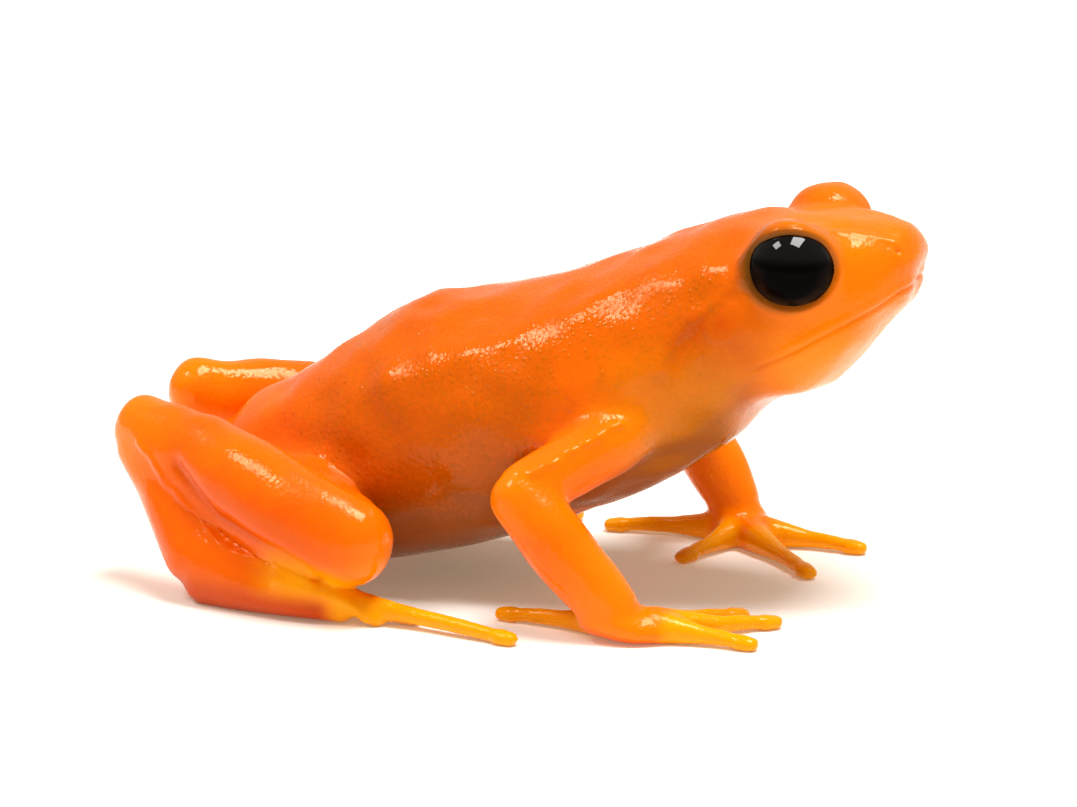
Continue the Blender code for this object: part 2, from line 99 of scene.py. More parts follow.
# %% Body sections
BODY_SECTIONS = (
    # back line (x, z), belly line (x, z), half width, height of the widest place, squareness
    ((-10.75, 4.75), (-10.35, 2.4), 1.7, 0.50, 2.0),
    ((-10.0, 5.5), (-9.4, 1.4), 2.6, 0.48, 2.1),
    ((-8.3, 6.6), (-7.4, 0.65), 3.5, 0.46, 2.1),
    ((-6.4, 7.85), (-5.3, 0.45), 4.2, 0.44, 2.1),
    ((-4.1, 9.3), (-3.0, 0.9), 4.8, 0.43, 2.1),
    ((-1.5, 9.85), (-0.6, 1.6), 5.15, 0.44, 2.1),
    ((1.2, 10.6), (2.0, 2.6), 5.05, 0.45, 2.1),
    ((3.5, 11.45), (4.3, 3.65), 4.7, 0.46, 2.1),
    ((5.5, 12.35), (6.8, 5.2), 4.2, 0.44, 2.15),
    ((7.3, 12.85), (8.15, 6.72), 4.1, 0.40, 2.2),
    ((9.2, 13.0), (10.0, 7.34), 3.7, 0.38, 2.3),
    ((10.9, 13.05), (11.32, 8.7), 2.9, 0.40, 2.3),
    ((12.15, 12.8), (12.3, 9.88), 2.05, 0.44, 2.3),
)
RUMP_ROUNDING = 0.9
SNOUT_ROUNDING = 0.9
print("body sections:", len(BODY_SECTIONS))

# %% Limbs: x, y, z, half width and half height, from root to tip
RUMP_FILLING = ((-8.4, 0.0, 3.6, 2.4, 2.0), (-9.6, 0.0, 3.4, 2.15, 1.8))
UPPER_ARM_RIGHT = (
    (4.3, -3.2, 6.7, 1.25, 1.25),
    (3.2, -5.0, 5.7, 1.0, 1.1),
    (1.3, -6.5, 4.65, 0.9, 0.95),
)
FOREARM_RIGHT = (
    (1.2, -6.75, 4.4, 0.95, 0.98),
    (2.5, -7.0, 3.05, 1.05, 1.12),
    (3.65, -7.1, 1.8, 0.98, 1.04),
    (4.3, -7.1, 1.1, 0.9, 0.92),
)
UPPER_ARM_LEFT = (
    (4.5, 3.2, 6.7, 1.25, 1.25),
    (4.1, 5.0, 5.8, 1.0, 1.1),
    (3.4, 6.5, 4.7, 0.9, 0.95),
)
FOREARM_LEFT = (
    (3.3, 6.65, 4.45, 0.95, 1.0),
    (3.95, 6.8, 3.3, 1.0, 1.05),
    (4.6, 6.75, 2.3, 0.95, 1.03),
    (5.15, 6.6, 1.4, 0.85, 0.88),
)
THIGH = (
    (-8.6, 2.0, 3.0, 1.6, 1.6),
    (-7.3, 3.9, 2.95, 1.6, 1.65),
    (-5.9, 5.5, 3.0, 1.4, 1.5),
    (-4.7, 6.7, 3.0, 1.2, 1.3),
)
SHANK_RIGHT = (
    (-4.3, -7.25, 2.7, 1.3, 1.45),
    (-6.2, -6.8, 3.25, 1.4, 1.65),
    (-8.4, -5.8, 3.97, 1.4, 1.68),
    (-10.6, -4.6, 4.62, 1.2, 1.45),
    (-12.7, -3.3, 5.0, 1.05, 1.17),
)
SHANK_LEFT = (
    (-4.3, 7.25, 2.7, 1.3, 1.45),
    (-6.2, 6.8, 3.25, 1.4, 1.65),
    (-8.5, 5.8, 3.87, 1.4, 1.6),
    (-10.8, 4.6, 4.42, 1.2, 1.38),
    (-13.0, 3.3, 4.81, 1.05, 1.15),
)
TARSUS_RIGHT = (
    (-12.7, -3.6, 4.56, 0.88, 0.98),
    (-11.9, -4.25, 3.62, 0.84, 1.03),
    (-11.0, -5.0, 2.52, 0.95, 1.13),
    (-10.2, -5.6, 1.6, 1.1, 1.16),
)
TARSUS_LEFT = (
    (-13.0, 3.6, 4.41, 0.88, 0.98),
    (-12.1, 4.25, 3.52, 0.84, 1.03),
    (-11.1, 5.0, 2.47, 0.95, 1.13),
    (-10.2, 5.6, 1.6, 1.1, 1.16),
)
print("rows for the near leg:", len(THIGH + SHANK_RIGHT + TARSUS_RIGHT))

# %% Palms and soles, and each digit's root, bend, tip and growth at the root
HAND_RIGHT = {
    "palm": ((4.0, -7.05, 0.95, 0.95, 0.85), (4.9, -6.95, 0.54, 1.05, 0.58), (5.9, -6.65, 0.38, 0.9, 0.42)),
    "digits": (
        ((4.4, -6.75, 0.5), (2.5, -6.2, 0.34), (0.35, -5.65), 2.0),
        ((5.2, -6.5, 0.5), (6.5, -5.1, 0.34), (7.85, -3.8), 1.7),
        ((5.5, -6.6, 0.5), (7.5, -5.6, 0.36), (9.1, -4.4), 2.0),
        ((5.6, -6.9, 0.5), (7.4, -7.0, 0.36), (8.95, -7.2), 2.0),
    ),
}
HAND_LEFT = {
    "palm": ((5.3, 6.5, 1.0, 0.85, 0.8), (5.7, 6.25, 0.54, 1.05, 0.58), (6.2, 5.85, 0.38, 0.95, 0.42)),
    "digits": (
        ((5.3, 6.2, 0.5), (3.0, 6.6, 0.34), (0.9, 6.5), 2.0),
        ((5.5, 5.9, 0.5), (4.9, 4.4, 0.34), (4.3, 2.9), 2.0),
        ((5.9, 5.6, 0.5), (7.4, 3.8, 0.34), (8.8, 2.0), 2.0),
        ((6.2, 5.9, 0.5), (8.0, 5.9, 0.34), (9.75, 5.6), 2.0),
    ),
}
FOOT_RIGHT = {
    "palm": (
        (-9.6, -5.95, 1.25, 1.0, 1.4),
        (-8.2, -6.4, 1.0, 1.0, 1.12),
        (-6.3, -7.0, 0.72, 0.86, 0.72),
        (-4.7, -7.3, 0.42, 0.5, 0.4),
    ),
    "digits": (
        ((-8.2, -5.9, 0.7), (-7.2, -5.2, 0.4), (-6.1, -4.8)),
        ((-7.4, -6.3, 0.7), (-5.8, -5.8, 0.4), (-4.3, -5.6)),
        ((-6.6, -6.6, 0.8), (-4.4, -6.7, 0.5), (-2.4, -7.0)),
        ((-6.2, -6.9, 0.9), (-2.6, -7.3, 0.45), (1.3, -8.6), 1.9),
        ((-6.9, -7.2, 1.3), (-5.0, -7.6, 0.95), (-3.5, -7.4), 1.9),
    ),
}
FOOT_LEFT = {
    "palm": (
        (-9.6, 5.95, 1.25, 1.0, 1.4),
        (-8.2, 6.35, 1.0, 1.0, 1.12),
        (-6.4, 6.9, 0.72, 0.86, 0.72),
        (-4.8, 7.2, 0.42, 0.5, 0.4),
    ),
    "digits": (
        ((-8.3, 5.8, 0.7), (-7.4, 5.0, 0.4), (-6.4, 4.6)),
        ((-7.5, 6.1, 0.7), (-5.9, 5.3, 0.4), (-4.3, 4.9)),
        ((-6.7, 6.4, 0.8), (-4.6, 6.2, 0.5), (-2.7, 6.3)),
        ((-6.3, 6.9, 0.9), (-3.6, 7.1, 0.45), (-0.7, 7.6), 1.9),
        ((-6.7, 7.1, 1.25), (-5.1, 7.5, 0.85), (-3.7, 7.7), 1.9),
    ),
}
ENDS = (HAND_RIGHT, HAND_LEFT, FOOT_RIGHT, FOOT_LEFT)
print("digits:", sum(len(end["digits"]) for end in ENDS))

# %% Eyes and the features of the face
EYE_CENTRE = (9.25, 2.82, 11.74)
EYE_RADIUS = 1.45
LID_RADIUS = 1.6
GAZE_TURN = 12.0
GAZE_LIFT = 4.0
MOUTH_FRONT = (13.3, 11.1)
MOUTH_BACK = (7.9, 8.3)
NOSTRIL_PLACE = (12.45, 1.5, 12.15)
EARDRUM_PLACE = (7.2, 4.1, 10.05)
EARDRUM_RADIUS = 0.6
FOLD_PATH = ((7.7, 3.7, 11.4), (7.1, 3.95, 10.95), (6.3, 4.05, 10.15), (5.7, 4.15, 9.4), (5.35, 4.45, 8.4))
CANTHUS_PATH = ((10.3, 1.9, 12.75), (11.3, 1.6, 12.65), (12.3, 1.4, 12.45))
HIP_KNOB = (-3.6, 0.7, 9.5)
print("eye to nostril:", round(math.dist(EYE_CENTRE, NOSTRIL_PLACE), 2), "mm")

# %% Ridges and creases on the body and the limbs
BACK_EDGE = (
    (-4.0, 3.9, 7.4), (-2.7, 3.8, 8.1), (-1.3, 3.9, 8.4), (0.1, 3.85, 8.8), (1.2, 3.6, 9.35),
    (2.3, 3.3, 9.95), (3.6, 3.0, 10.5), (4.9, 2.9, 11.05), (6.2, 2.95, 11.5),
)
HEEL_RIDGE = (
    (-12.47, 4.87, 4.97), (-11.9, 5.27, 4.55), (-11.3, 5.58, 3.85), (-10.7, 5.83, 3.5), (-10.1, 6.05, 3.1),
    (-9.6, 6.4, 2.6), (-9.0, 6.81, 2.2), (-8.4, 7.0, 2.03), (-7.6, 7.15, 1.87), (-6.85, 7.4, 1.8),
    (-6.2, 7.55, 1.6), (-5.6, 7.65, 1.4),
)
HEEL_CREASE = (
    (-10.85, 5.9, 4.5), (-10.4, 6.15, 4.15), (-9.79, 6.46, 3.59), (-9.23, 6.6, 3.15), (-8.2, 7.2, 2.8),
    (-7.4, 7.6, 2.5), (-6.6, 7.8, 2.3), (-5.9, 7.75, 2.0), (-5.4, 7.5, 1.6),
)
ARM_RIDGE_RIGHT = (
    (1.66, -7.02, 5.38), (2.18, -6.7, 5.61), (2.74, -6.3, 5.95), (3.29, -5.85, 6.27), (4.1, -5.12, 6.72),
)
ARM_RIDGE_LEFT = ((4.3, 4.6, 6.95), (4.15, 5.3, 6.6), (3.8, 6.1, 6.0), (3.5, 6.7, 5.4))
print("bends in the heel's ridge:", len(HEEL_RIDGE))

# %% [markdown]
# ## Lofting the body and the limbs
#
# A loft joins one section to the next. Blender has no loft tool, but a loft between unlike sections is
# only rings of points with faces between them. The table gives few sections, so more are put between
# them on a smooth curve. Each end is closed with shrinking rings, like the end of an egg.

# %% Rings and the faces between them
CAP_ANGLES = (18, 36, 54, 72, 90)


def through(rows, steps):
    """More rows between the given ones, on one smooth curve through all of them."""
    rows = np.array(rows, float)
    padded = np.vstack([2 * rows[0] - rows[1], rows, 2 * rows[-1] - rows[-2]])
    made = []
    for before, here, there, after in zip(padded, padded[1:], padded[2:], padded[3:]):
        for t in np.arange(steps) / steps:
            made.append(
                (2 * t**3 - 3 * t**2 + 1) * here
                + (t**3 - 2 * t**2 + t) * (there - before) / 2
                + (3 * t**2 - 2 * t**3) * there
                + (t**3 - t**2) * (after - here) / 2
            )
    return np.array([*made, rows[-1]])


def closed(rows, root, tip):
    """Each row with its shift along the form and its share of the size, shrinking to a point at both ends."""
    cap = [(math.sin(angle), math.cos(angle)) for angle in np.radians(CAP_ANGLES)]
    first = [(rows[0], -root * shift, share) for shift, share in cap[::-1]]
    last = [(rows[-1], tip * shift, share) for shift, share in cap]
    return first + [(row, 0.0, 1.0) for row in rows] + last


def section(centre, across, upward, width, rise, drop, squareness, sides):
    """One ring: an oval with its own height above and below its widest place."""
    angle = 2 * np.pi * np.arange(sides) / sides
    c, s = np.cos(angle), np.sin(angle)
    u = np.sign(c) * np.abs(c) ** (2 / squareness) * width
    v = np.sign(s) * np.abs(s) ** (2 / squareness) * np.where(s > 0, rise, drop)
    return centre + np.outer(u, across) + np.outer(v, upward)


def loft(rings):
    """Points and faces of a closed form through the rings. The first and the last ring are points."""
    first_pole, *rings, last_pole = rings
    sides = len(rings[0])
    points = np.vstack([*rings, first_pole[0], last_pole[0]])
    first, last = len(points) - 2, len(points) - 1
    top = (len(rings) - 1) * sides
    faces = []
    for k in range(sides):
        j = (k + 1) % sides
        faces += [(r * sides + k, r * sides + j, r * sides + sides + j, r * sides + sides + k)
                  for r in range(len(rings) - 1)]
        faces += [(first, j, k), (last, top + k, top + j)]
    return points, faces


print("rows that 3 sections become:", len(through([(0.0,), (1.0,), (0.0,)], 8)))

# %% The form of the body
BODY_SIDES = 72
BODY_STEPS = 8


def body_form():
    """The loft through the body's sections, rounded at the rump and the snout."""
    rows = through([(*t, *b, w, h, q) for t, b, w, h, q in BODY_SECTIONS], BODY_STEPS)
    across = np.array((0.0, 1.0, 0.0))
    rings = []
    for row, shift, share in closed(rows, RUMP_ROUNDING, SNOUT_ROUNDING):
        back_x, back_z, belly_x, belly_z, width, widest, squareness = row
        top, belly = np.array((back_x, 0, back_z)), np.array((belly_x, 0, belly_z))
        height = np.linalg.norm(top - belly)
        upward = (top - belly) / height
        middle = (top + belly) / 2 + np.cross(across, upward) * shift
        centre = middle + upward * height * (widest - 0.5) * share
        rise, drop = height * (1 - widest) * share, height * widest * share
        rings.append(section(centre, across, upward, width * share, rise, drop, squareness, BODY_SIDES))
    return loft(rings)


print("points in the body's form:", len(body_form()[0]))

# %% The forms of the limbs
LIMB_SIDES = 32
LIMB_STEPS = 6


def limb_form(table):
    """The loft along a limb. Each ring is turned as little as possible from the one before it."""
    rows = through(table, LIMB_STEPS)
    tangents = np.gradient(rows[:, :3], axis=0)
    tangents /= np.linalg.norm(tangents, axis=1)[:, None]
    across = np.cross((0.0, 0.0, 1.0), tangents[0])
    rings = []
    for (row, tangent), shift, share in closed([*zip(rows, tangents)], min(rows[0][3:]), min(rows[-1][3:])):
        across = across - tangent * (across @ tangent)
        across /= np.linalg.norm(across)
        upward, (width, height) = np.cross(tangent, across), row[3:] * share
        centre = row[:3] + tangent * shift
        rings.append(section(centre, across, upward, width, height, height, 2.0, LIMB_SIDES))
    return loft(rings)


def mirrored(table):
    return tuple((x, -y, *rest) for x, y, *rest in table)


limb_tables = [UPPER_ARM_RIGHT, FOREARM_RIGHT, UPPER_ARM_LEFT, FOREARM_LEFT]
limb_tables += [THIGH, SHANK_LEFT, TARSUS_LEFT, mirrored(THIGH), SHANK_RIGHT, TARSUS_RIGHT]
limb_tables += [end["palm"] for end in ENDS]
forms = [body_form()] + [limb_form(table) for table in (*limb_tables, RUMP_FILLING)]
print("forms:", len(forms), "with", sum(len(points) for points, _ in forms), "points")

# %% [markdown]
# ## Fingers and toes that follow their paths
#
# A frog's digit is a thin rod that runs along a path, with a swelling under each joint and a small round
# disc at its tip. Eighteen digits repeat this rule, so Geometry Nodes make them all at once: each path
# becomes a curve, a circle is swept along it at the girth that the path carries, and a flattened ball is
# set at each point that carries a pad. The girths and pads travel with the paths as attributes.

# %% Draw the paths of the digits
DIGIT_REST = 0.22
DIGIT_GIRTH = 0.3
ROOT_GROWTH = 1.5
JOINT_SWELLING = 0.34
TIP_PAD = 0.36
PAD_LENGTH = 0.3
MIDDLE_LIFT = 0.03
THINNING = (1.0, 0.85, 0.75, 0.7)
SECOND_PAD = 0.9


def digit_path(root, bend, tip, growth=ROOT_GROWTH):
    """Points, girths and pad sizes from the palm to the tip. growth is how thick the root is."""
    root, bend, tip = np.array(root), np.array(bend), np.array((*tip, DIGIT_REST))
    along = (tip - bend) / np.linalg.norm(tip - bend)
    middle = (bend + tip) / 2 + (0, 0, MIDDLE_LIFT)
    points = [root, (root + bend) / 2, bend, middle, tip - along * PAD_LENGTH, tip]
    girths = [growth, (1 + growth) / 2, *THINNING]
    pads = [0, 0, JOINT_SWELLING, JOINT_SWELLING * SECOND_PAD, TIP_PAD, TIP_PAD * SECOND_PAD]
    return points, [g * DIGIT_GIRTH for g in girths], pads


paths, girths, pads, links = [], [], [], []
for end in ENDS:
    for stops in end["digits"]:
        points, girth, pad = digit_path(*stops)
        links += [(len(paths) + i, len(paths) + i + 1) for i in range(len(points) - 1)]
        paths += points
        girths += girth
        pads += pad
path_mesh = bpy.data.meshes.new("digit_paths")
path_mesh.from_pydata([tuple(p) for p in paths], links, [])
path_mesh.attributes.new("girth", "FLOAT", "POINT").data.foreach_set("value", girths)
path_mesh.attributes.new("pad", "FLOAT", "POINT").data.foreach_set("value", pads)
print("path points:", len(paths))

# %% Helpers for node trees
skin_material = bpy.data.materials.new("moist_skin")


def set_inputs(node, values):
    """Numbers and colours are set on a node's inputs, and outputs of other nodes are wired to them."""
    for label, value in values.items():
        if isinstance(value, bpy.types.NodeSocket):
            node.id_data.links.new(value, node.inputs[label])
        else:
            node.inputs[label].default_value = value


def add_node(tree, kind, inputs=None, **settings):
    """A node with its settings and its inputs."""
    node = tree.nodes.new(kind)
    for label, setting in settings.items():
        setattr(node, label, setting)
    set_inputs(node, inputs or {})
    return node


def worked_out(tree, operation, first, second):
    """What a Math node makes of two sockets, or of a socket and a number."""
    return add_node(tree, "ShaderNodeMath", {0: first, 1: second}, operation=operation).outputs["Value"]


def new_tree(kind, name, inputs, outputs):
    """A tree of nodes with named inputs and outputs, and its two end nodes."""
    tree = bpy.data.node_groups.new(name, kind)
    for label, socket_type, value in inputs:
        socket = tree.interface.new_socket(label, in_out="INPUT", socket_type=socket_type)
        if value is not None:
            socket.default_value = value
    for label, socket_type in outputs:
        tree.interface.new_socket(label, in_out="OUTPUT", socket_type=socket_type)
    return tree, add_node(tree, "NodeGroupInput"), add_node(tree, "NodeGroupOutput")


def geometry_tree(name, inputs):
    mesh = ("Geometry", "NodeSocketGeometry")
    return new_tree("GeometryNodeTree", name, ((*mesh, None), *inputs), (mesh,))


def attribute_node(tree, name):
    node = add_node(tree, "GeometryNodeInputNamedAttribute", {"Name": name}, data_type="FLOAT")
    return node.outputs["Attribute"]


def flattened_size(tree, flatness, size):
    """The scale of a ball that is as flat along Z as one socket says, and as big as the other says."""
    flat = add_node(tree, "ShaderNodeCombineXYZ", {"X": 1.0, "Y": 1.0, "Z": flatness}).outputs["Vector"]
    scaled = add_node(tree, "ShaderNodeVectorMath", {"Vector": flat, "Scale": size}, operation="SCALE")
    return scaled.outputs["Vector"]


def finish_tree(tree, start, geometry, end):
    """Every tree ends the same way: real mesh instead of instances, smooth, with its material."""
    for kind in ("GeometryNodeRealizeInstances", "GeometryNodeSetShadeSmooth", "GeometryNodeSetMaterial"):
        last = add_node(tree, kind, {"Geometry": geometry})
        geometry = last.outputs["Geometry"]
    set_inputs(last, {"Material": start.outputs["Material"]})
    set_inputs(end, {"Geometry": geometry})


print("material for the skin:", skin_material.name)

# %% Build the tree that sweeps the digits
def digit_tree():
    """A round rod along each path, and a flattened ball on each point that carries a pad."""
    tree, start, end = geometry_tree("digits_along_paths", (
        ("Sides", "NodeSocketInt", 16),
        ("Steps", "NodeSocketInt", 40),
        ("Pad flatness", "NodeSocketFloat", 0.75),
        ("Material", "NodeSocketMaterial", None),
    ))
    given = start.outputs
    curve = add_node(tree, "GeometryNodeMeshToCurve", {"Mesh": given["Geometry"]}).outputs["Curve"]
    bent = add_node(tree, "GeometryNodeCurveSplineType", {"Curve": curve}, spline_type="CATMULL_ROM")
    even = add_node(
        tree, "GeometryNodeResampleCurve", {"Curve": bent.outputs["Curve"], "Count": given["Steps"]}
    )
    circle = add_node(tree, "GeometryNodeCurvePrimitiveCircle", {"Resolution": given["Sides"], "Radius": 1.0})
    swept = add_node(tree, "GeometryNodeCurveToMesh", {
        "Curve": even.outputs["Curve"],
        "Profile Curve": circle.outputs["Curve"],
        "Scale": attribute_node(tree, "girth"),
        "Fill Caps": True,
    })
    ball = add_node(tree, "GeometryNodeMeshUVSphere", {"Segments": 20, "Rings": 12})
    placed = add_node(tree, "GeometryNodeInstanceOnPoints", {
        "Points": given["Geometry"],
        "Instance": ball.outputs["Mesh"],
        "Scale": flattened_size(tree, given["Pad flatness"], attribute_node(tree, "pad")),
    })
    joined = add_node(tree, "GeometryNodeJoinGeometry")
    for part in (swept.outputs["Mesh"], placed.outputs["Instances"]):
        set_inputs(joined, {"Geometry": part})
    finish_tree(tree, start, joined.outputs["Geometry"], end)
    return tree


def plain_result(carrier):
    """The mesh that an object's modifiers make, without the object."""
    evaluated = carrier.evaluated_get(bpy.context.evaluated_depsgraph_get())
    made = bpy.data.meshes.new_from_object(evaluated)
    bpy.data.objects.remove(carrier)
    return made


def grown_by(tree, mesh, values):
    """The plain mesh that a tree makes of a mesh, with the tree's named inputs set to the values."""
    carrier = new_object("carrier", mesh)
    modifier = carrier.modifiers.new(tree.name, "NODES")
    modifier.node_group = tree
    for item in tree.interface.items_tree:
        if item.in_out == "INPUT" and item.name in values:
            modifier[item.identifier] = values[item.name]
    return plain_result(carrier)


digits = grown_by(digit_tree(), path_mesh, {"Material": skin_material, "Sides": 16, "Steps": 40})
print("points on the digits:", len(digits.vertices))

# %% [markdown]
# ## One skin over everything
#
# The forms overlap like clay rolls pressed together. A Boolean union would leave a hard crease where two
# of them meet. A voxel remesh turns them into one closed skin of even little squares instead, which can
# then be smoothed and sculpted point by point. The voxels must be finer than half a finger.

# %% Fuse the forms
VOXEL = 0.115
LID_SEGMENTS = 48
LID_RINGS = 32


def side_point(point, side):
    """A point on the left side for 1, or on the right side for -1, wherever it was measured."""
    return np.array((point[0], side * abs(point[1]), point[2]))


def join_forms():
    bm = bmesh.new()
    for points, faces in forms:
        corners = [bm.verts.new(p) for p in points]
        for face in faces:
            bm.faces.new([corners[i] for i in face])
    for side in (1, -1):
        lid = bmesh.ops.create_uvsphere(bm, u_segments=LID_SEGMENTS, v_segments=LID_RINGS, radius=LID_RADIUS)
        bmesh.ops.translate(bm, vec=side_point(EYE_CENTRE, side), verts=lid["verts"])
    bm.from_mesh(digits)
    bmesh.ops.recalc_face_normals(bm, faces=bm.faces)
    mesh = bpy.data.meshes.new("forms")
    bm.to_mesh(mesh)
    bm.free()
    return mesh


def fused(mesh):
    carrier = new_object("carrier", mesh)
    remesh = carrier.modifiers.new("remesh", "REMESH")
    remesh.mode = "VOXEL"
    remesh.voxel_size = VOXEL
    return plain_result(carrier)


skin = fused(join_forms())
print("skin after fusing:", len(skin.vertices), "points,", len(skin.polygons), "faces")

# %% [markdown]
# ## Soft creases
#
# Where a limb leaves the body the skin runs over in a soft hollow, and between folded limbs it dips into
# a rounded crease. Plain smoothing would also thin the fingers. So only points that lie in a hollow are
# moved, outwards, until it is filled to a soft fillet. A few rounds of balanced smoothing, one step in
# and one step out, then take the stair steps of the voxels away and keep the volume.

# %% Fill the hollows and smooth
FILLET_ROUNDS = 45
NORMALS_EVERY = 5
BALANCE_ROUNDS = 12
SMOOTH_IN = 0.5
SMOOTH_OUT = -0.53


def numbers(items, label, width, kind=np.float32):
    """A table of one property of all the points or edges of a mesh, with one row for each."""
    values = np.empty(len(items) * width, kind)
    items.foreach_get(label, values)
    return values.reshape(-1, width)


def coordinates(mesh):
    return numbers(mesh.vertices, "co", 3).astype(float)


def set_coordinates(mesh, points):
    mesh.vertices.foreach_set("co", points.astype(np.float32).ravel())
    mesh.update()


def point_normals(mesh):
    return numbers(mesh.vertex_normals, "vector", 3).astype(float)


def neighbours(mesh):
    """The two points of each edge, and how many edges meet at each point."""
    pairs = numbers(mesh.edges, "vertices", 2, np.int32)
    return pairs, np.bincount(pairs.ravel(), minlength=len(mesh.vertices))


def pull(points, pairs, counts):
    """For each point, the way to the middle of its neighbours."""
    (a, b), total = pairs.T, np.empty_like(points)
    for axis, column in enumerate(points.T):
        total[:, axis] = np.bincount(a, column[b], len(points)) + np.bincount(b, column[a], len(points))
    return total / counts[:, None] - points


def fill_hollows(mesh):
    """Each point in a hollow moved outwards, towards the middle of its neighbours."""
    pairs, counts = neighbours(mesh)
    points = coordinates(mesh)
    for step in range(FILLET_ROUNDS):
        if step % NORMALS_EVERY == 0:
            set_coordinates(mesh, points)
            normals = point_normals(mesh)
        outward = np.einsum("ij,ij->i", pull(points, pairs, counts), normals)
        points += normals * np.maximum(outward, 0)[:, None]
    set_coordinates(mesh, points)


def balance(mesh):
    """Every point moved a step towards its neighbours and a step back, which keeps the volume."""
    pairs, counts = neighbours(mesh)
    points = coordinates(mesh)
    for share in (SMOOTH_IN, SMOOTH_OUT) * BALANCE_ROUNDS:
        points += share * pull(points, pairs, counts)
    set_coordinates(mesh, points)


fill_hollows(skin)
balance(skin)
print("skin height:", round(coordinates(skin)[:, 2].max(), 2), "mm")

# %% [markdown]
# ## Finer faces where the face is
#
# The lids, the line of the mouth, the nostrils and the eardrums need finer faces than the back. Splitting
# every face would pass the limit of triangles, so only the faces near these features are split in four.

# %% Measure from the features
def smooth_step(low, high, value):
    """0 before low, 1 beyond high, and a soft change between them. It also works downwards."""
    t = np.clip((value - low) / (high - low), 0, 1)
    return t * t * (3 - 2 * t)


def side_path(path, side):
    return [side_point(point, side) for point in path]


def path_distance(points, path):
    """The distance of each point to a bent line."""
    best = np.full(len(points), 1e9)
    for a, b in zip(path, path[1:]):
        a, b = np.array(a), np.array(b)
        t = np.clip((points - a) @ (b - a) / ((b - a) @ (b - a)), 0, 1)
        best = np.minimum(best, np.linalg.norm(points - a - t[:, None] * (b - a), axis=1))
    return best


def both_sides(points, place):
    """The distance of each point to the nearer of a place and its mirror image."""
    return np.minimum(*[np.linalg.norm(points - side_point(place, side), axis=1) for side in (1, -1)])


def path_both_sides(points, path):
    return np.minimum(*[path_distance(points, side_path(path, side)) for side in (1, -1)])


def mouth_frame(points):
    """How far each point lies along the mouth from its corner, and above the plane of the jaws."""
    along = np.subtract(MOUTH_FRONT, MOUTH_BACK)
    along /= np.linalg.norm(along)
    flat = points[:, (0, 2)] - np.array(MOUTH_BACK)
    return flat @ along, flat @ np.array((-along[1], along[0]))


print("mouth:", round(math.dist(MOUTH_FRONT, MOUTH_BACK), 2), "mm from the corner to the front")

# %% Split the faces near the features
EYE_REACH = 2.05
NEAR_PLACES = ((EYE_CENTRE, EYE_REACH), (NOSTRIL_PLACE, 0.7), (EARDRUM_PLACE, 1.0))
MOUTH_REACH = 0.42
MOUTH_CORNER_REACH = 0.6
LINE_REACH = 0.4


def near_features(points):
    """Whether each point is so close to a feature that it needs small faces round it."""
    along, above = mouth_frame(points)
    chosen = (np.abs(above) < MOUTH_REACH) & (along > -MOUTH_CORNER_REACH)
    for place, reach in NEAR_PLACES:
        chosen |= both_sides(points, place) < reach
    for line in (ARM_RIDGE_RIGHT, ARM_RIDGE_LEFT):
        chosen |= path_distance(points, line) < LINE_REACH
    for line in (HEEL_RIDGE, HEEL_CREASE):
        chosen |= path_both_sides(points, line) < LINE_REACH
    return chosen


def split_near_features(mesh):
    chosen = near_features(coordinates(mesh))
    bm = bmesh.new()
    bm.from_mesh(mesh)
    bm.verts.ensure_lookup_table()
    edges = [edge for edge in bm.edges if chosen[edge.verts[0].index] and chosen[edge.verts[1].index]]
    bmesh.ops.subdivide_edges(bm, edges=edges, cuts=1, use_grid_fill=True, smooth=0)
    bmesh.ops.triangulate(bm, faces=[face for face in bm.faces if len(face.verts) > 4])
    bm.to_mesh(mesh)
    bm.free()


split_near_features(skin)
print("skin after splitting:", len(skin.vertices), "points")

# %% [markdown]
# ## Sculpting the face
#
# Each feature is a small move of the points along their normals, by a rule that fades out with distance:
# the line of the mouth between two soft lips, a pit for each nostril, a faint ring for each eardrum, and
# the fold of skin that runs from the eye back over the eardrum. The skin dips behind each eyeball, so the
# edge of the dip stands round the eye as its lids.

# %% Lids round the eyes
LID_OPENING_LENGTH = 1.5
LID_OPENING_HEIGHT = 1.28
LID_EDGE = (0.97, 1.06)
SOCKET_DEPTH = 0.3


def eye_frame(side):
    """The way the eye looks, the way forward along its rim, and the way up."""
    turn, lift = math.radians(GAZE_TURN), math.radians(GAZE_LIFT)
    flat = math.cos(lift)
    way = np.array((math.sin(turn) * flat, side * math.cos(turn) * flat, math.sin(lift)))
    ahead = np.cross(np.cross(way, (1.0, 0.0, 0.0)), way)
    ahead /= np.linalg.norm(ahead)
    return way, ahead, np.cross(way, ahead) * (1 if np.cross(way, ahead)[2] > 0 else -1)


def lid_frame(points, side):
    """The offset from an eye, how far out it goes, and its shares of the opening: along, up and in all."""
    way, ahead, up = eye_frame(side)
    offset = points - side_point(EYE_CENTRE, side)
    along, height = offset @ ahead / LID_OPENING_LENGTH, offset @ up / LID_OPENING_HEIGHT
    return offset, offset @ way, along, height, np.sqrt(along**2 + height**2)


def open_lids(points):
    """The skin inside the edge of the lids drawn back to a bowl behind the eyeball."""
    for side in (1, -1):
        offset, outward, _, _, rim = lid_frame(points, side)
        reach = np.linalg.norm(offset, axis=1)
        inside = (1 - smooth_step(*LID_EDGE, rim)) * (outward > 0) * (reach < EYE_REACH)
        wanted = np.minimum(reach, EYE_RADIUS - SOCKET_DEPTH)
        points += offset / np.maximum(reach, 1e-6)[:, None] * ((wanted - reach) * inside)[:, None]
    return points


print("the right eye looks along", eye_frame(-1)[0].round(2))

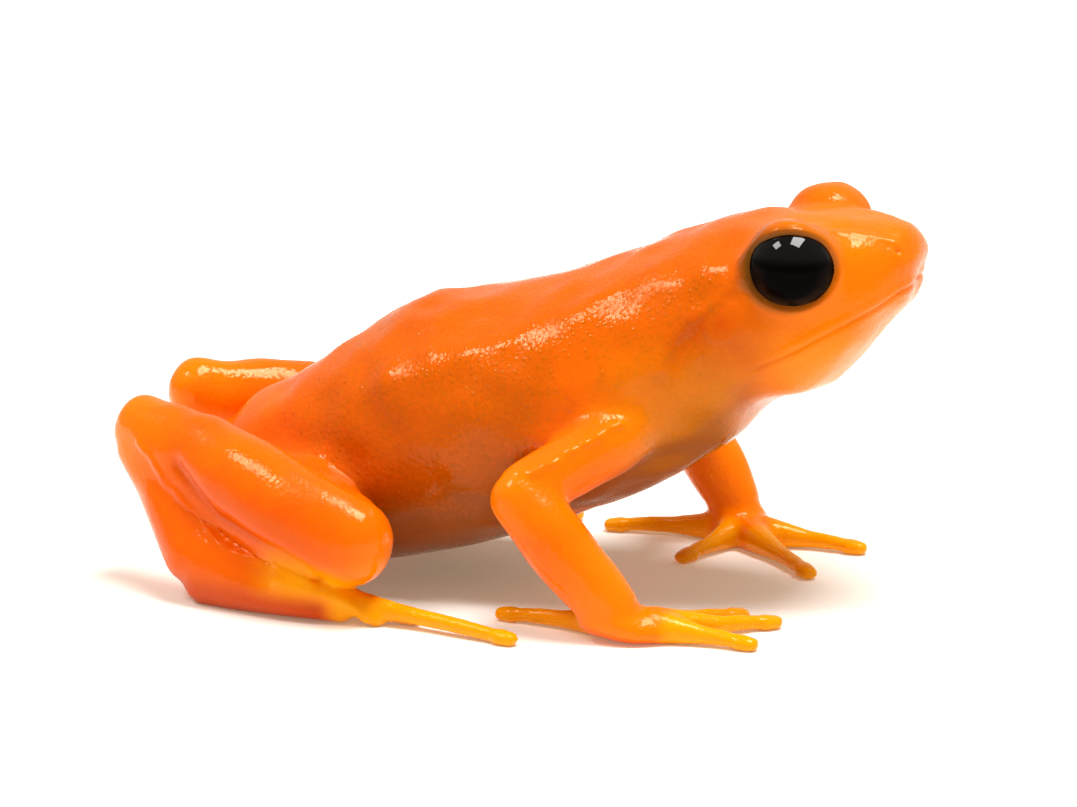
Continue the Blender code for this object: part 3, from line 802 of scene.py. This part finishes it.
# %% Mouth, nostrils, eardrums and folds
JAW_START = (-0.1, 0.6)
JAW_BACK = MOUTH_BACK[0] - 0.2
LIPS = (
    # place above the line of the mouth, height or depth, width
    (0.16, 0.035, 0.13),
    (-0.17, 0.03, 0.14),
    (0.0, -0.04, 0.06),
)
CHIN_TUCK = 0.21
CHIN_FRONT = (12.0, 13.0)
CHIN_TOP = (11.95, 11.05)
EARDRUM_MIDDLE = (EARDRUM_PLACE[0], EARDRUM_PLACE[1] - 0.15, EARDRUM_PLACE[2])
SOFT_SPOTS = (
    # place, distance from it, height or depth, width
    (NOSTRIL_PLACE, 0.2, 0.02, 0.12),
    (NOSTRIL_PLACE, 0.0, -0.14, 0.1),
    (HIP_KNOB, 0.0, 0.1, 0.55),
    (EARDRUM_MIDDLE, EARDRUM_RADIUS, 0.015, 0.12),
    (EARDRUM_MIDDLE, 0.0, -0.02, EARDRUM_RADIUS * 0.7),
)
SOFT_LINES = (
    # path, how far below it, height or depth, width
    (FOLD_PATH, 0.0, 0.09, 0.3),
    (FOLD_PATH, 0.35, -0.05, 0.25),
    (CANTHUS_PATH, 0.0, 0.06, 0.15),
    (CANTHUS_PATH, 0.45, -0.05, 0.25),
    (HEEL_CREASE, 0.0, -0.2, 0.36),
)


def bump(distance, width):
    return np.exp(-((distance / width) ** 2))


def jaw_moves(points):
    """Two soft lips with the line of the mouth between them, and the chin tucked in under the snout."""
    along, above = mouth_frame(points)
    jaw = smooth_step(*JAW_START, along) * (points[:, 0] > JAW_BACK)
    lips = sum(height * bump(above - place, width) for place, height, width in LIPS)
    chin = smooth_step(*CHIN_FRONT, points[:, 0]) * smooth_step(*CHIN_TOP, points[:, 2])
    return jaw * lips - CHIN_TUCK * chin


def soft_moves(points):
    """The nostrils, the eardrums, the hips, and the lines of the face and the heels."""
    move = np.zeros(len(points))
    for side in (1, -1):
        for place, ring, height, width in SOFT_SPOTS:
            distance = np.linalg.norm(points - side_point(place, side), axis=1)
            move += height * bump(distance - ring, width)
        for path, below, height, width in SOFT_LINES:
            distance = path_distance(points + (0, 0, below), side_path(path, side))
            move += height * bump(distance, width)
    return move


print("spots and lines on each side:", len(SOFT_SPOTS) + len(SOFT_LINES))

# %% Ridges and swellings that break up the highlights
FINE_FOLDS, SLOW_FOLDS = (0.4, 0.9), (0.91, 0.6)
WET_RIDGES = (
    # path, height, width
    (ARM_RIDGE_RIGHT, 0.09, 0.17),
    (ARM_RIDGE_LEFT, 0.09, 0.17),
    (HEEL_RIDGE, 0.1, 0.14),
    (mirrored(HEEL_RIDGE), 0.1, 0.14),
)
BACK_EDGE_HEIGHT = 0.13
BACK_EDGE_WIDTH = 0.75
BROW_RIM = 1.2
BROW_HEIGHT = 0.06
BROW_WIDTH = 0.12
SWELLING_SPACING = 1.3
SWELLING_HEIGHT = 0.12
NORMAL_ROUNDS = 6


def noise_at(points, spacing):
    return np.array([noise.noise(Vector(p) / spacing) for p in points])


def folds(points, spacing, depth):
    """Small folds that break up a ridge of wet skin, as shares of the ridge's height."""
    return 1 + depth * noise_at(points, spacing)


def ridge_moves(points):
    """The tendons of the arms and heels, the rims over the eyes and the two edges of the back."""
    fine, slow = folds(points, *FINE_FOLDS), folds(points, *SLOW_FOLDS)
    move = sum(height * fine * bump(path_distance(points, path), width) for path, height, width in WET_RIDGES)
    for side in (1, -1):
        _, outward, _, height, rim = lid_frame(points, side)
        upper_lid = smooth_step(0.2, 0.7, outward) * smooth_step(0.1, 0.6, height)
        move += BROW_HEIGHT * fine * upper_lid * bump(rim - BROW_RIM, BROW_WIDTH)
        edge = path_distance(points, side_path(BACK_EDGE, side))
        move += BACK_EDGE_HEIGHT * slow * bump(edge, BACK_EDGE_WIDTH)
    return move


def swellings(points):
    """Soft low swellings of muscle and gland, which break up the long highlights."""
    calm_limbs = 1 - 0.5 * smooth_step(4.8, 5.8, np.abs(points[:, 1]))
    calm_feet = smooth_step(1.0, 3.0, points[:, 2])
    return SWELLING_HEIGHT * noise_at(points, SWELLING_SPACING) * calm_limbs * calm_feet


def calm_normals(mesh):
    """The normals evened out a little, so that points in a tight crease don't cross when they move."""
    normals, (pairs, counts) = point_normals(mesh), neighbours(mesh)
    for _ in range(NORMAL_ROUNDS):
        normals += 0.5 * pull(normals, pairs, counts)
    return normals / np.linalg.norm(normals, axis=1)[:, None]


def sculpt(mesh):
    points = coordinates(mesh)
    moves = jaw_moves(points) + soft_moves(points) + ridge_moves(points) + swellings(points)
    points = open_lids(points + calm_normals(mesh) * moves[:, None])
    set_coordinates(mesh, points)
    return moves


moves = sculpt(skin)
print("points moved between", moves.min().round(2), "and", moves.max().round(2), "mm")

# %% [markdown]
# ## Down on the floor
#
# Soft skin goes flat where it carries weight. Every point that would be under the floor is set on it.

# %% Flatten the soles
points = coordinates(skin)
flattened = int((points[:, 2] < 0).sum())
points[:, 2] = np.maximum(points[:, 2], 0)
set_coordinates(skin, points)
print("points pressed flat:", flattened)

# %% [markdown]
# ## Fewer faces where the skin is calm
#
# The back and the belly are smooth, and don't need the small faces that the lids and the fingers need.
# Decimate joins faces where that changes the shape least. A vertex group tells it where it may work, so
# the face and the digits keep every point, and the whole skin stays light enough to handle.

# %% Lighten the skin
SKIN_TRIANGLES = 185000
DIGIT_REACH = 0.6


def digit_distance(points):
    lines = [(root, bend, (*tip, DIGIT_REST)) for end in ENDS for root, bend, tip, *_ in end["digits"]]
    return np.minimum.reduce([path_distance(points, line) for line in lines])


def lightened(mesh, wanted):
    points = coordinates(mesh)
    calm = ~near_features(points) & (digit_distance(points) > DIGIT_REACH)
    carrier = new_object("carrier", mesh)
    group = carrier.vertex_groups.new(name="calm")
    group.add([int(i) for i in np.flatnonzero(calm)], 1.0, "REPLACE")
    fewer = carrier.modifiers.new("fewer", "DECIMATE")
    fewer.ratio = wanted / sum(len(face.vertices) - 2 for face in mesh.polygons)
    fewer.vertex_group = group.name
    return plain_result(carrier)


skin = lightened(skin, SKIN_TRIANGLES)
print("skin faces now:", len(skin.polygons))

# %% [markdown]
# ## Where the colour changes
#
# The frog is orange all over, but not evenly: the digits and the heels are yellower, the tops of the lids
# and the eardrums deeper. Painted shade makes the flanks and the belly deeper where they face down and
# darkens the low sides of the feet, and the far arm is painted yellower as a glow of light shining
# through it. An image could carry this, but a number at each point of the skin is sharper and needs no
# unwrapping. Such fields are stored as attributes, and the material mixes its colours by them. The reddish
# field is painted shade in the heel creases, on the soles, under the fold behind each eye and under the
# shanks, with the eardrums' own dark tint; the rim field is painted shade along the edges of the lids.

# %% Masks of the digits and the lids
# by the number of digits: each tint's start between root and bend, its full width and its reach
DIGIT_TINTS = {4: ((0.5, 0.35, 1.1),) * 4, 5: ((0.8, 0.3, 1.1),) * 4 + ((0.1, 0.3, 1.7),)}
# the painted shade at the edges of the lids: its strength, reach and where it is full
RIM_STRENGTH, BEHIND_STRONGER = 0.7, 0.22
RIM_REACH, BEHIND_WIDER = 1.22, 0.08
RIM_FULL = 0.96


def digit_tint(points):
    """1 on each digit beyond its webbed root, fading out towards the palm or sole."""
    best = np.zeros(len(points))
    for end in ENDS:
        for (root, bend, tip, *_), (begin, near, far) in zip(end["digits"], DIGIT_TINTS[len(end["digits"])]):
            start = np.array(root) * (1 - begin) + np.array(bend) * begin
            distance = path_distance(points, (start, bend, (*tip, DIGIT_REST)))
            best = np.maximum(best, 1 - smooth_step(near, far, distance))
    return best


def painted_lid_shade(points):
    """Painted shade along the edge of the lids, strongest at their back corner and fading out round it."""
    best = np.zeros(len(points))
    for side in (1, -1):
        _, outward, along, _, rim = lid_frame(points, side)
        fade = smooth_step(RIM_REACH - BEHIND_WIDER * along, RIM_FULL, rim)
        best = np.maximum(best, (RIM_STRENGTH - BEHIND_STRONGER * along) * fade * (outward > 0))
    return best


points, facing_up = coordinates(skin), point_normals(skin)[:, 2]
digit_mask, lid_edge_shade = digit_tint(points), painted_lid_shade(points)
print("points on digits:", int((digit_mask > 0.5).sum()), "on rims:", int((lid_edge_shade > 0.5).sum()))

# %% Masks of the body
# each step goes from the place where it is 0 to the place where it is 1, both in millimetres
x, aside, z = points[:, 0], np.abs(points[:, 1]), points[:, 2]
limb = smooth_step(4.6, 6.0, aside)
arm, leg = limb * smooth_step(-1.0, 1.0, x), limb * smooth_step(-1.0, -2.5, x)
head = smooth_step(7.0, 10.0, x)
throat = 1 - smooth_step(9.0, 10.5, z)
chest = smooth_step(2.0, 5.0, x) * smooth_step(10.0, 7.5, z) * smooth_step(-0.8, -0.3, facing_up)
arm_root = smooth_step(0.6, 2.4, x)
torso = smooth_step(-10.5, -6.0, x) * (1 - smooth_step(6.5, 10.5, x))
torso *= 1 - smooth_step(5.2 - 1.7 * arm_root, 5.8 + 0.6 * arm_root, aside)
torso *= np.maximum(smooth_step(2.6, 3.4, z), smooth_step(1.6, 0.6, x))
outer_foot = smooth_step(-4.6, -5.4, x) * smooth_step(6.4, 7.0, aside)
foot_top = smooth_step(-8.8, -6.0, x) * smooth_step(0.5, 1.3, z)
lid_tops = smooth_step(2.1, 1.6, both_sides(points, EYE_CENTRE)) * smooth_step(12.3, 12.9, z)
eardrum = bump(both_sides(points, EARDRUM_PLACE), 0.3)
print("torso:", int((torso > 0.5).sum()), "points, head:", int((head > 0.5).sum()))

# %% Store the colour fields
YELLOW_SPOTS = (
    # place, strength, width: heels, knees and elbows
    ((-12.9, 3.3, 4.9), 0.45, 1.5),
    ((-3.4, 7.7, 2.2), 0.45, 1.1),
    ((0.9, 6.8, 4.5), 0.4, 1.3),
)


def strongest(*fields):
    return np.maximum.reduce(fields)


yellow = strongest(
    # on the low outer side of the feet the digits' yellow gives way to the painted shade of the soles
    digit_mask * (1 - outer_foot * (1 - foot_top)),
    # the far arm painted yellower, a painted glow of light shining through it
    arm * np.where(points[:, 1] > 0, 0.25, 0.16 * smooth_step(2.6, 4.6, z)),
    0.3 * chest,
    head * (0.22 + 0.2 * throat),
    *[strength * bump(both_sides(points, place), width) for place, strength, width in YELLOW_SPOTS],
)
# painted shade on the low sides of the feet
sole_shade = smooth_step(1.6, 0.5, z) * smooth_step(-4.0, -5.0, x) * (1 - yellow)
# painted shade: the flanks and the belly darker the more they face down
flanks = torso * np.clip(0.57 - facing_up * np.where(facing_up > 0, 0.3, 0.6), 0, 1)
# painted shade in the heel creases, on the soles, under the fold behind each eye and under the shanks
shade_and_eardrum_red = strongest(
    0.85 * bump(path_both_sides(points, HEEL_CREASE), 0.36),
    0.8 * sole_shade,
    0.5 * bump(path_both_sides(points - (0.1, 0, -0.3), FOLD_PATH[2:]), 0.4),
    # the eardrums' own darker tint
    0.45 * eardrum,
    0.4 * leg * smooth_step(0.8, -0.2, facing_up) * smooth_step(5.4, 4.0, z),
)
skin_fields = {
    "yellow": yellow,
    # mostly painted shade, with the darker tops of the lids and the eardrums' own tint
    "deep_shade_and_marks": strongest(flanks, 0.42 * lid_tops, 0.4 * eardrum, 0.3 * sole_shade),
    "shade_and_eardrum_red": shade_and_eardrum_red,
    "rim": lid_edge_shade,
    "granular": torso * smooth_step(-0.5, 0.1, facing_up) * smooth_step(7.6, 6.2, x),
}


def store(mesh, name, values):
    attribute = mesh.attributes.new(name, "FLOAT", "POINT")
    attribute.data.foreach_set("value", np.clip(values, 0, 1).astype(np.float32))


for name, values in skin_fields.items():
    store(skin, name, values)
    print(f"{name} is strong on {(values > 0.5).mean():.1%} of the points")

# %% [markdown]
# ## The moist skin
#
# A mantella's skin is wet and very finely granular: it shines like varnish, and its highlights break up
# into specks. The grain is used by more than one finish, so it is a node group of its own that puts out
# a height and a mottling mask. Light also travels a little way into the skin, which warms its shadows.

# %% The grain group
def grain_group():
    """Fine grains and slow mottling, both in the object's own space."""
    group, start, end = new_tree(
        "ShaderNodeTree", "moist_grain",
        (("Grain scale", "NodeSocketFloat", 7000.0), ("Mottle scale", "NodeSocketFloat", 420.0)),
        (("Height", "NodeSocketFloat"), ("Mottle", "NodeSocketFloat")),
    )
    place = add_node(group, "ShaderNodeTexCoord").outputs["Object"]
    grain_scale = start.outputs["Grain scale"]
    fine = add_node(group, "ShaderNodeTexNoise", {"Vector": place, "Scale": grain_scale, "Detail": 3.0})
    grains = add_node(group, "ShaderNodeTexVoronoi", {
        "Vector": place,
        "Scale": grain_scale,
        "Smoothness": 0.6,
    }, feature="SMOOTH_F1")
    mottle = add_node(group, "ShaderNodeTexNoise", {
        "Vector": place,
        "Scale": start.outputs["Mottle scale"],
        "Detail": 5.0,
        "Roughness": 0.62,
    })
    lower = worked_out(group, "MULTIPLY", fine.outputs["Fac"], 0.45)
    height = worked_out(group, "SUBTRACT", lower, grains.outputs["Distance"])
    set_inputs(end, {"Height": height, "Mottle": mottle.outputs["Fac"]})
    return group


grain = grain_group()
print("grain group:", len(grain.nodes), "nodes")

# %% Nodes that both finishes use
def mix_colour(tree, factor, first, second):
    """The mix of two colours. This node's inputs 6 and 7 and its output 2 are the ones for colours."""
    inputs = {"Factor": factor, 6: first, 7: second}
    return add_node(tree, "ShaderNodeMix", inputs, data_type="RGBA").outputs[2]


def ramp(tree, value, low, high, low_out=0.0, high_out=1.0):
    """A value between low and high turned smoothly into one between low_out and high_out."""
    ends = {"Value": value, "From Min": low, "From Max": high, "To Min": low_out, "To Max": high_out}
    return add_node(tree, "ShaderNodeMapRange", ends, interpolation_type="SMOOTHSTEP").outputs["Result"]


def field(tree, name):
    """One of the fields that are stored on the mesh."""
    return add_node(tree, "ShaderNodeAttribute", attribute_name=name).outputs["Fac"]


def start_finish(material):
    """A material's nodes and its shader, with the grain beside it."""
    material.use_nodes = True
    tree = material.node_tree
    return tree, tree.nodes["Principled BSDF"], add_node(tree, "ShaderNodeGroup", node_tree=grain)


print("the grain's sockets:", ", ".join(item.name for item in grain.interface.items_tree))

# %% The skin's material
ORANGE = (1.0, 0.145, 0.0, 1.0)
MOTTLE_ORANGE = (0.9, 0.115, 0.0, 1.0)
# the dark orange of the painted shade, stippled by the grain
SHADE_AND_STIPPLE_ORANGE = (0.3, 0.066, 0.0, 1.0)
FIELD_COLOURS = {
    # painted shade in the creases and on the soles, and the eardrums' own tint
    "shade_and_eardrum_red": (0.58, 0.05, 0.0, 1.0),
    "yellow": (1.0, 0.36, 0.0, 1.0),
    # painted shade along the edges of the lids
    "rim": (0.09, 0.038, 0.002, 1.0),
}
SKIN_GLOSS = {
    "Subsurface Weight": 0.25,
    "Subsurface Radius": (1.0, 0.35, 0.1),
    "Subsurface Scale": 0.6 * MM,
    "IOR": 1.37,
    "Specular Tint": (1.0, 0.76, 0.42, 1.0),
    "Coat Weight": 0.02,
    "Coat Roughness": 0.08,
}
RELIEF = {"Strength": 0.7, "Distance": 0.018 * MM}
# low and high of what goes into a ramp, then of what comes out
MOTTLED = (0.42, 0.72)
STIPPLED = (-0.35, 0.25, 1.12, 0.9)
GLOSSY_TO_DULL = (0.42, 0.58, 0.11, 0.27)
SMOOTH_TO_GRANULAR = (0.0, 1.0, 0.8, 1.0)


def paint_skin(material):
    """Mottled orange, stippled painted shade on flanks and soles, then each field's colour in turn."""
    tree, shader, grains = start_finish(material)
    mottle, height = grains.outputs["Mottle"], grains.outputs["Height"]
    # painted shade, broken up by the grain into a stipple
    stippled_shade = worked_out(tree, "MULTIPLY", field(tree, "deep_shade_and_marks"), ramp(tree, height, *STIPPLED))
    colour = mix_colour(tree, ramp(tree, mottle, *MOTTLED), ORANGE, MOTTLE_ORANGE)
    colour = mix_colour(tree, stippled_shade, colour, SHADE_AND_STIPPLE_ORANGE)
    for name, field_colour in FIELD_COLOURS.items():
        colour = mix_colour(tree, field(tree, name), colour, field_colour)
    rough = worked_out(tree, "MULTIPLY", height, ramp(tree, field(tree, "granular"), *SMOOTH_TO_GRANULAR))
    set_inputs(shader, {
        "Base Color": colour,
        "Roughness": ramp(tree, mottle, *GLOSSY_TO_DULL),
        "Normal": add_node(tree, "ShaderNodeBump", {"Height": rough, **RELIEF}).outputs["Normal"],
        **SKIN_GLOSS,
    })


paint_skin(skin_material)
print("skin material:", len(skin_material.node_tree.nodes), "nodes")

# %% [markdown]
# ## Granules on the back and flanks
#
# Close up, the back and flanks carry thousands of low rounded granules. They sit at random but never on
# top of each other, which is what Geometry Nodes' Poisson scatter gives. Each granule is a flat ball of
# few faces, sunk so that only a low dome shows, and it takes its colour fields from the skin under it.

# %% Scatter the granules
GRANULE_BALL = {"Segments": 7, "Rings": 4, "Radius": 1.0}
SMALLEST, LARGEST = 0.6, 1.15


def granule_tree():
    """Flat balls on random points of the skin, as dense as the field allows, sunk in and turned with it."""
    tree, start, end = geometry_tree("granules_on_skin", (
        ("Spacing", "NodeSocketFloat", 0.19),
        ("Density", "NodeSocketFloat", 24.0),
        ("Size", "NodeSocketFloat", 0.14),
        ("Flatness", "NodeSocketFloat", 0.22),
        ("Sunk", "NodeSocketVector", (0.0, 0.0, -0.8)),
        ("Seed", "NodeSocketInt", 4),
        ("Material", "NodeSocketMaterial", None),
    ))
    given = start.outputs
    scatter = add_node(tree, "GeometryNodeDistributePointsOnFaces", {
        "Mesh": given["Geometry"],
        "Distance Min": given["Spacing"],
        "Density Max": given["Density"],
        "Density Factor": attribute_node(tree, "granular"),
        "Seed": given["Seed"],
    }, distribute_method="POISSON")
    ball = add_node(tree, "GeometryNodeMeshUVSphere", GRANULE_BALL)
    sunk = add_node(
        tree, "GeometryNodeTransform", {"Geometry": ball.outputs["Mesh"], "Translation": given["Sunk"]}
    )
    # this node's inputs 2 and 3 and its output 1 are the ones for plain numbers
    sizes = {2: SMALLEST, 3: LARGEST, "Seed": given["Seed"]}
    chance = add_node(tree, "FunctionNodeRandomValue", sizes, data_type="FLOAT").outputs[1]
    placed = add_node(tree, "GeometryNodeInstanceOnPoints", {
        "Points": scatter.outputs["Points"],
        "Rotation": scatter.outputs["Rotation"],
        "Instance": sunk.outputs["Geometry"],
        "Scale": flattened_size(tree, given["Flatness"], worked_out(tree, "MULTIPLY", chance, given["Size"])),
    })
    finish_tree(tree, start, placed.outputs["Instances"], end)
    return tree


granules = grown_by(granule_tree(), skin, {"Material": skin_material})
print("granules:", len(granules.polygons) // (GRANULE_BALL["Segments"] * GRANULE_BALL["Rings"]))

# %% [markdown]
# ## The eyes
#
# A mantella's eye is a glossy black ball with a barely lighter brown iris, which is painted only low in
# the eye, as a faint crescent. It is made as a ball whose pole points along the gaze, because then the rings
# of faces run round the pupil, and a field stored on them stays perfectly round. A clear coat is its wet
# film.

# %% Make the eyeballs
EYE_RINGS = 40
EYE_SEGMENTS = 64
CORNEA_BULGE = 0.05
CORNEA_ANGLE = 50.0
LOW_TOP = 0.2
LOW_RANGE = 1.2
MIRROR_FADE = (0.02, 0.45)


def eyeball(side):
    """A ball turned to the gaze, with the cornea's low bulge, and fields for the iris and the wet film."""
    bm = bmesh.new()
    bmesh.ops.create_uvsphere(bm, u_segments=EYE_SEGMENTS, v_segments=EYE_RINGS, radius=1.0)
    mesh = bpy.data.meshes.new("eyeball")
    bm.to_mesh(mesh)
    bm.free()
    ball = coordinates(mesh)
    angle = np.degrees(np.arccos(np.clip(ball[:, 2], -1, 1)))
    radius = EYE_RADIUS + CORNEA_BULGE * (1 - smooth_step(0, CORNEA_ANGLE, angle))
    way, ahead, up = eye_frame(side)
    turned = ball @ np.array((ahead, np.cross(way, ahead), way))
    store(mesh, "from_pupil", angle / 90)
    store(mesh, "low", (LOW_TOP - turned @ up) / LOW_RANGE)
    store(mesh, "mirror", smooth_step(*MIRROR_FADE, turned @ up))
    set_coordinates(mesh, turned * radius[:, None] + side_point(EYE_CENTRE, side))
    return mesh


eye_meshes = {"eye_right": eyeball(-1), "eye_left": eyeball(1)}
print("eyeballs:", len(eye_meshes))

# %% The eye's material
EYE_BLACK = (0.0015, 0.001, 0.001, 1.0)
IRIS_BROWN = (0.05, 0.022, 0.01, 1.0)
EYE_GLOSS = {"Roughness": 0.3, "Specular IOR Level": 0.0, "Coat IOR": 1.36, "Coat Roughness": 0.02}
STREAK_SCALE = 2600.0
IRIS_RING = (0.38, 0.62)
STREAKS = (0.35, 0.65, 0.3, 1.0)
WET_FILM = (0.0, 1.0, 0.06, 1.0)


def paint_eye(material):
    """Black, with a streaky brown iris that shows only low in the eye, and a wet film in the upper half."""
    tree, shader, streaks = start_finish(material)
    streaks.inputs["Mottle scale"].default_value = STREAK_SCALE
    iris = worked_out(tree, "MULTIPLY", ramp(tree, field(tree, "from_pupil"), *IRIS_RING), field(tree, "low"))
    streaky = worked_out(tree, "MULTIPLY", iris, ramp(tree, streaks.outputs["Mottle"], *STREAKS))
    set_inputs(shader, {
        "Base Color": mix_colour(tree, streaky, EYE_BLACK, IRIS_BROWN),
        "Coat Weight": ramp(tree, field(tree, "mirror"), *WET_FILM),
        **EYE_GLOSS,
    })


eye_material = bpy.data.materials.new("wet_eye")
paint_eye(eye_material)
print("eye material:", len(eye_material.node_tree.nodes), "nodes")

# %% [markdown]
# ## Into the frame
#
# Now each mesh is scaled from millimetres to metres and becomes an object at the origin. The skin stands
# for every solid of flesh, and each eyeball for its own solid. All of them ride on the only body.

# %% Place the pieces
def make_piece(name, mesh, material):
    mesh.transform(Matrix.Scale(MM, 4))
    mesh.materials.clear()
    mesh.materials.append(material)
    mesh.shade_smooth()
    piece = new_object(name, mesh)
    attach(piece, "root")
    return piece


flesh = [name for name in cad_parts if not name.startswith("eye")]
skin_piece = make_piece("frog_skin", skin, skin_material)
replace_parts(skin_piece, *flesh)
make_piece("skin_granules", granules, skin_material)
for name, mesh in eye_meshes.items():
    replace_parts(make_piece(f"{name}_ball", mesh, eye_material), name)
print("skin triangles:", sum(len(face.vertices) - 2 for face in skin.polygons))

# %% [markdown]
# ## Floor and light
#
# The frog sits on a plain white floor that runs up into a white wall far behind, so no horizon shows.
# Two soft boxes hang above it. They are placed by the two glints in the eye: each glint says where on
# the ball a light is mirrored, and so where the light is. A dim even world and a faint glow of the
# paper, like a table lit from below, fill the shadows.

# %% Build the studio
FLOOR_REACH = 1.2
SWEEP_HALF_WIDTH = 2.5
WALL_BEND = 0.5
WALL_HEIGHT = 1.4
BEND_STEPS = 16
PAPER = {
    "Base Color": (0.9, 0.89, 0.87, 1.0),
    "Roughness": 0.8,
    "Specular IOR Level": 0.1,
    "Emission Color": (1.0, 0.91, 0.62, 1.0),
    "Emission Strength": 0.16,
}


def white_sweep():
    """A floor that bends up into a wall behind the frog."""
    profile = [(-FLOOR_REACH, 0.0)]
    for step in range(BEND_STEPS + 1):
        angle = math.pi / 2 * step / BEND_STEPS
        profile.append((FLOOR_REACH + WALL_BEND * math.sin(angle), WALL_BEND * (1 - math.cos(angle))))
    profile.append((FLOOR_REACH + WALL_BEND, WALL_HEIGHT))
    corners = [(side, y, z) for y, z in profile for side in (-SWEEP_HALF_WIDTH, SWEEP_HALF_WIDTH)]
    faces = [(2 * i, 2 * i + 1, 2 * i + 3, 2 * i + 2) for i in range(len(profile) - 1)]
    mesh = bpy.data.meshes.new("white_sweep")
    mesh.from_pydata(corners, [], faces)
    mesh.shade_smooth()
    return mesh


floor_material = bpy.data.materials.new("white_paper")
floor_material.use_nodes = True
set_inputs(floor_material.node_tree.nodes["Principled BSDF"], PAPER)
floor = new_object("floor", white_sweep())
floor.data.materials.append(floor_material)
print("points in the sweep:", len(floor.data.vertices))

# %% Hang the lights
SOFT_BOXES = (
    # name, direction, distance, sizes, power, colour
    ("soft_box_above", (0.2125, -0.02, 0.974), 0.42, (0.2, 0.16), 2.0, (1.0, 0.99, 0.97)),
    ("soft_box_left", (-0.492, -0.21, 0.841), 0.48, (0.12, 0.12), 0.75, (1.0, 0.98, 0.96)),
)
SKY = {"Color": (1.0, 0.96, 0.84, 1.0), "Strength": 0.36}


def soft_box(name, direction, distance, sizes, power, colour):
    light = bpy.data.lights.new(name, "AREA")
    light.shape = "RECTANGLE"
    light.size, light.size_y = sizes
    light.energy = power
    light.color = colour
    box = new_object(name, light)
    way = Vector(direction).normalized()
    box.location = way * distance
    box.rotation_euler = way.to_track_quat("Z", "Y").to_euler()


for values in SOFT_BOXES:
    soft_box(*values)
world = bpy.data.worlds.new("studio")
bpy.context.scene.world = world
world.use_nodes = True
set_inputs(world.node_tree.nodes["Background"], SKY)
bpy.context.scene.view_settings.view_transform = "Standard"
print("lights hung:", len(SOFT_BOXES))
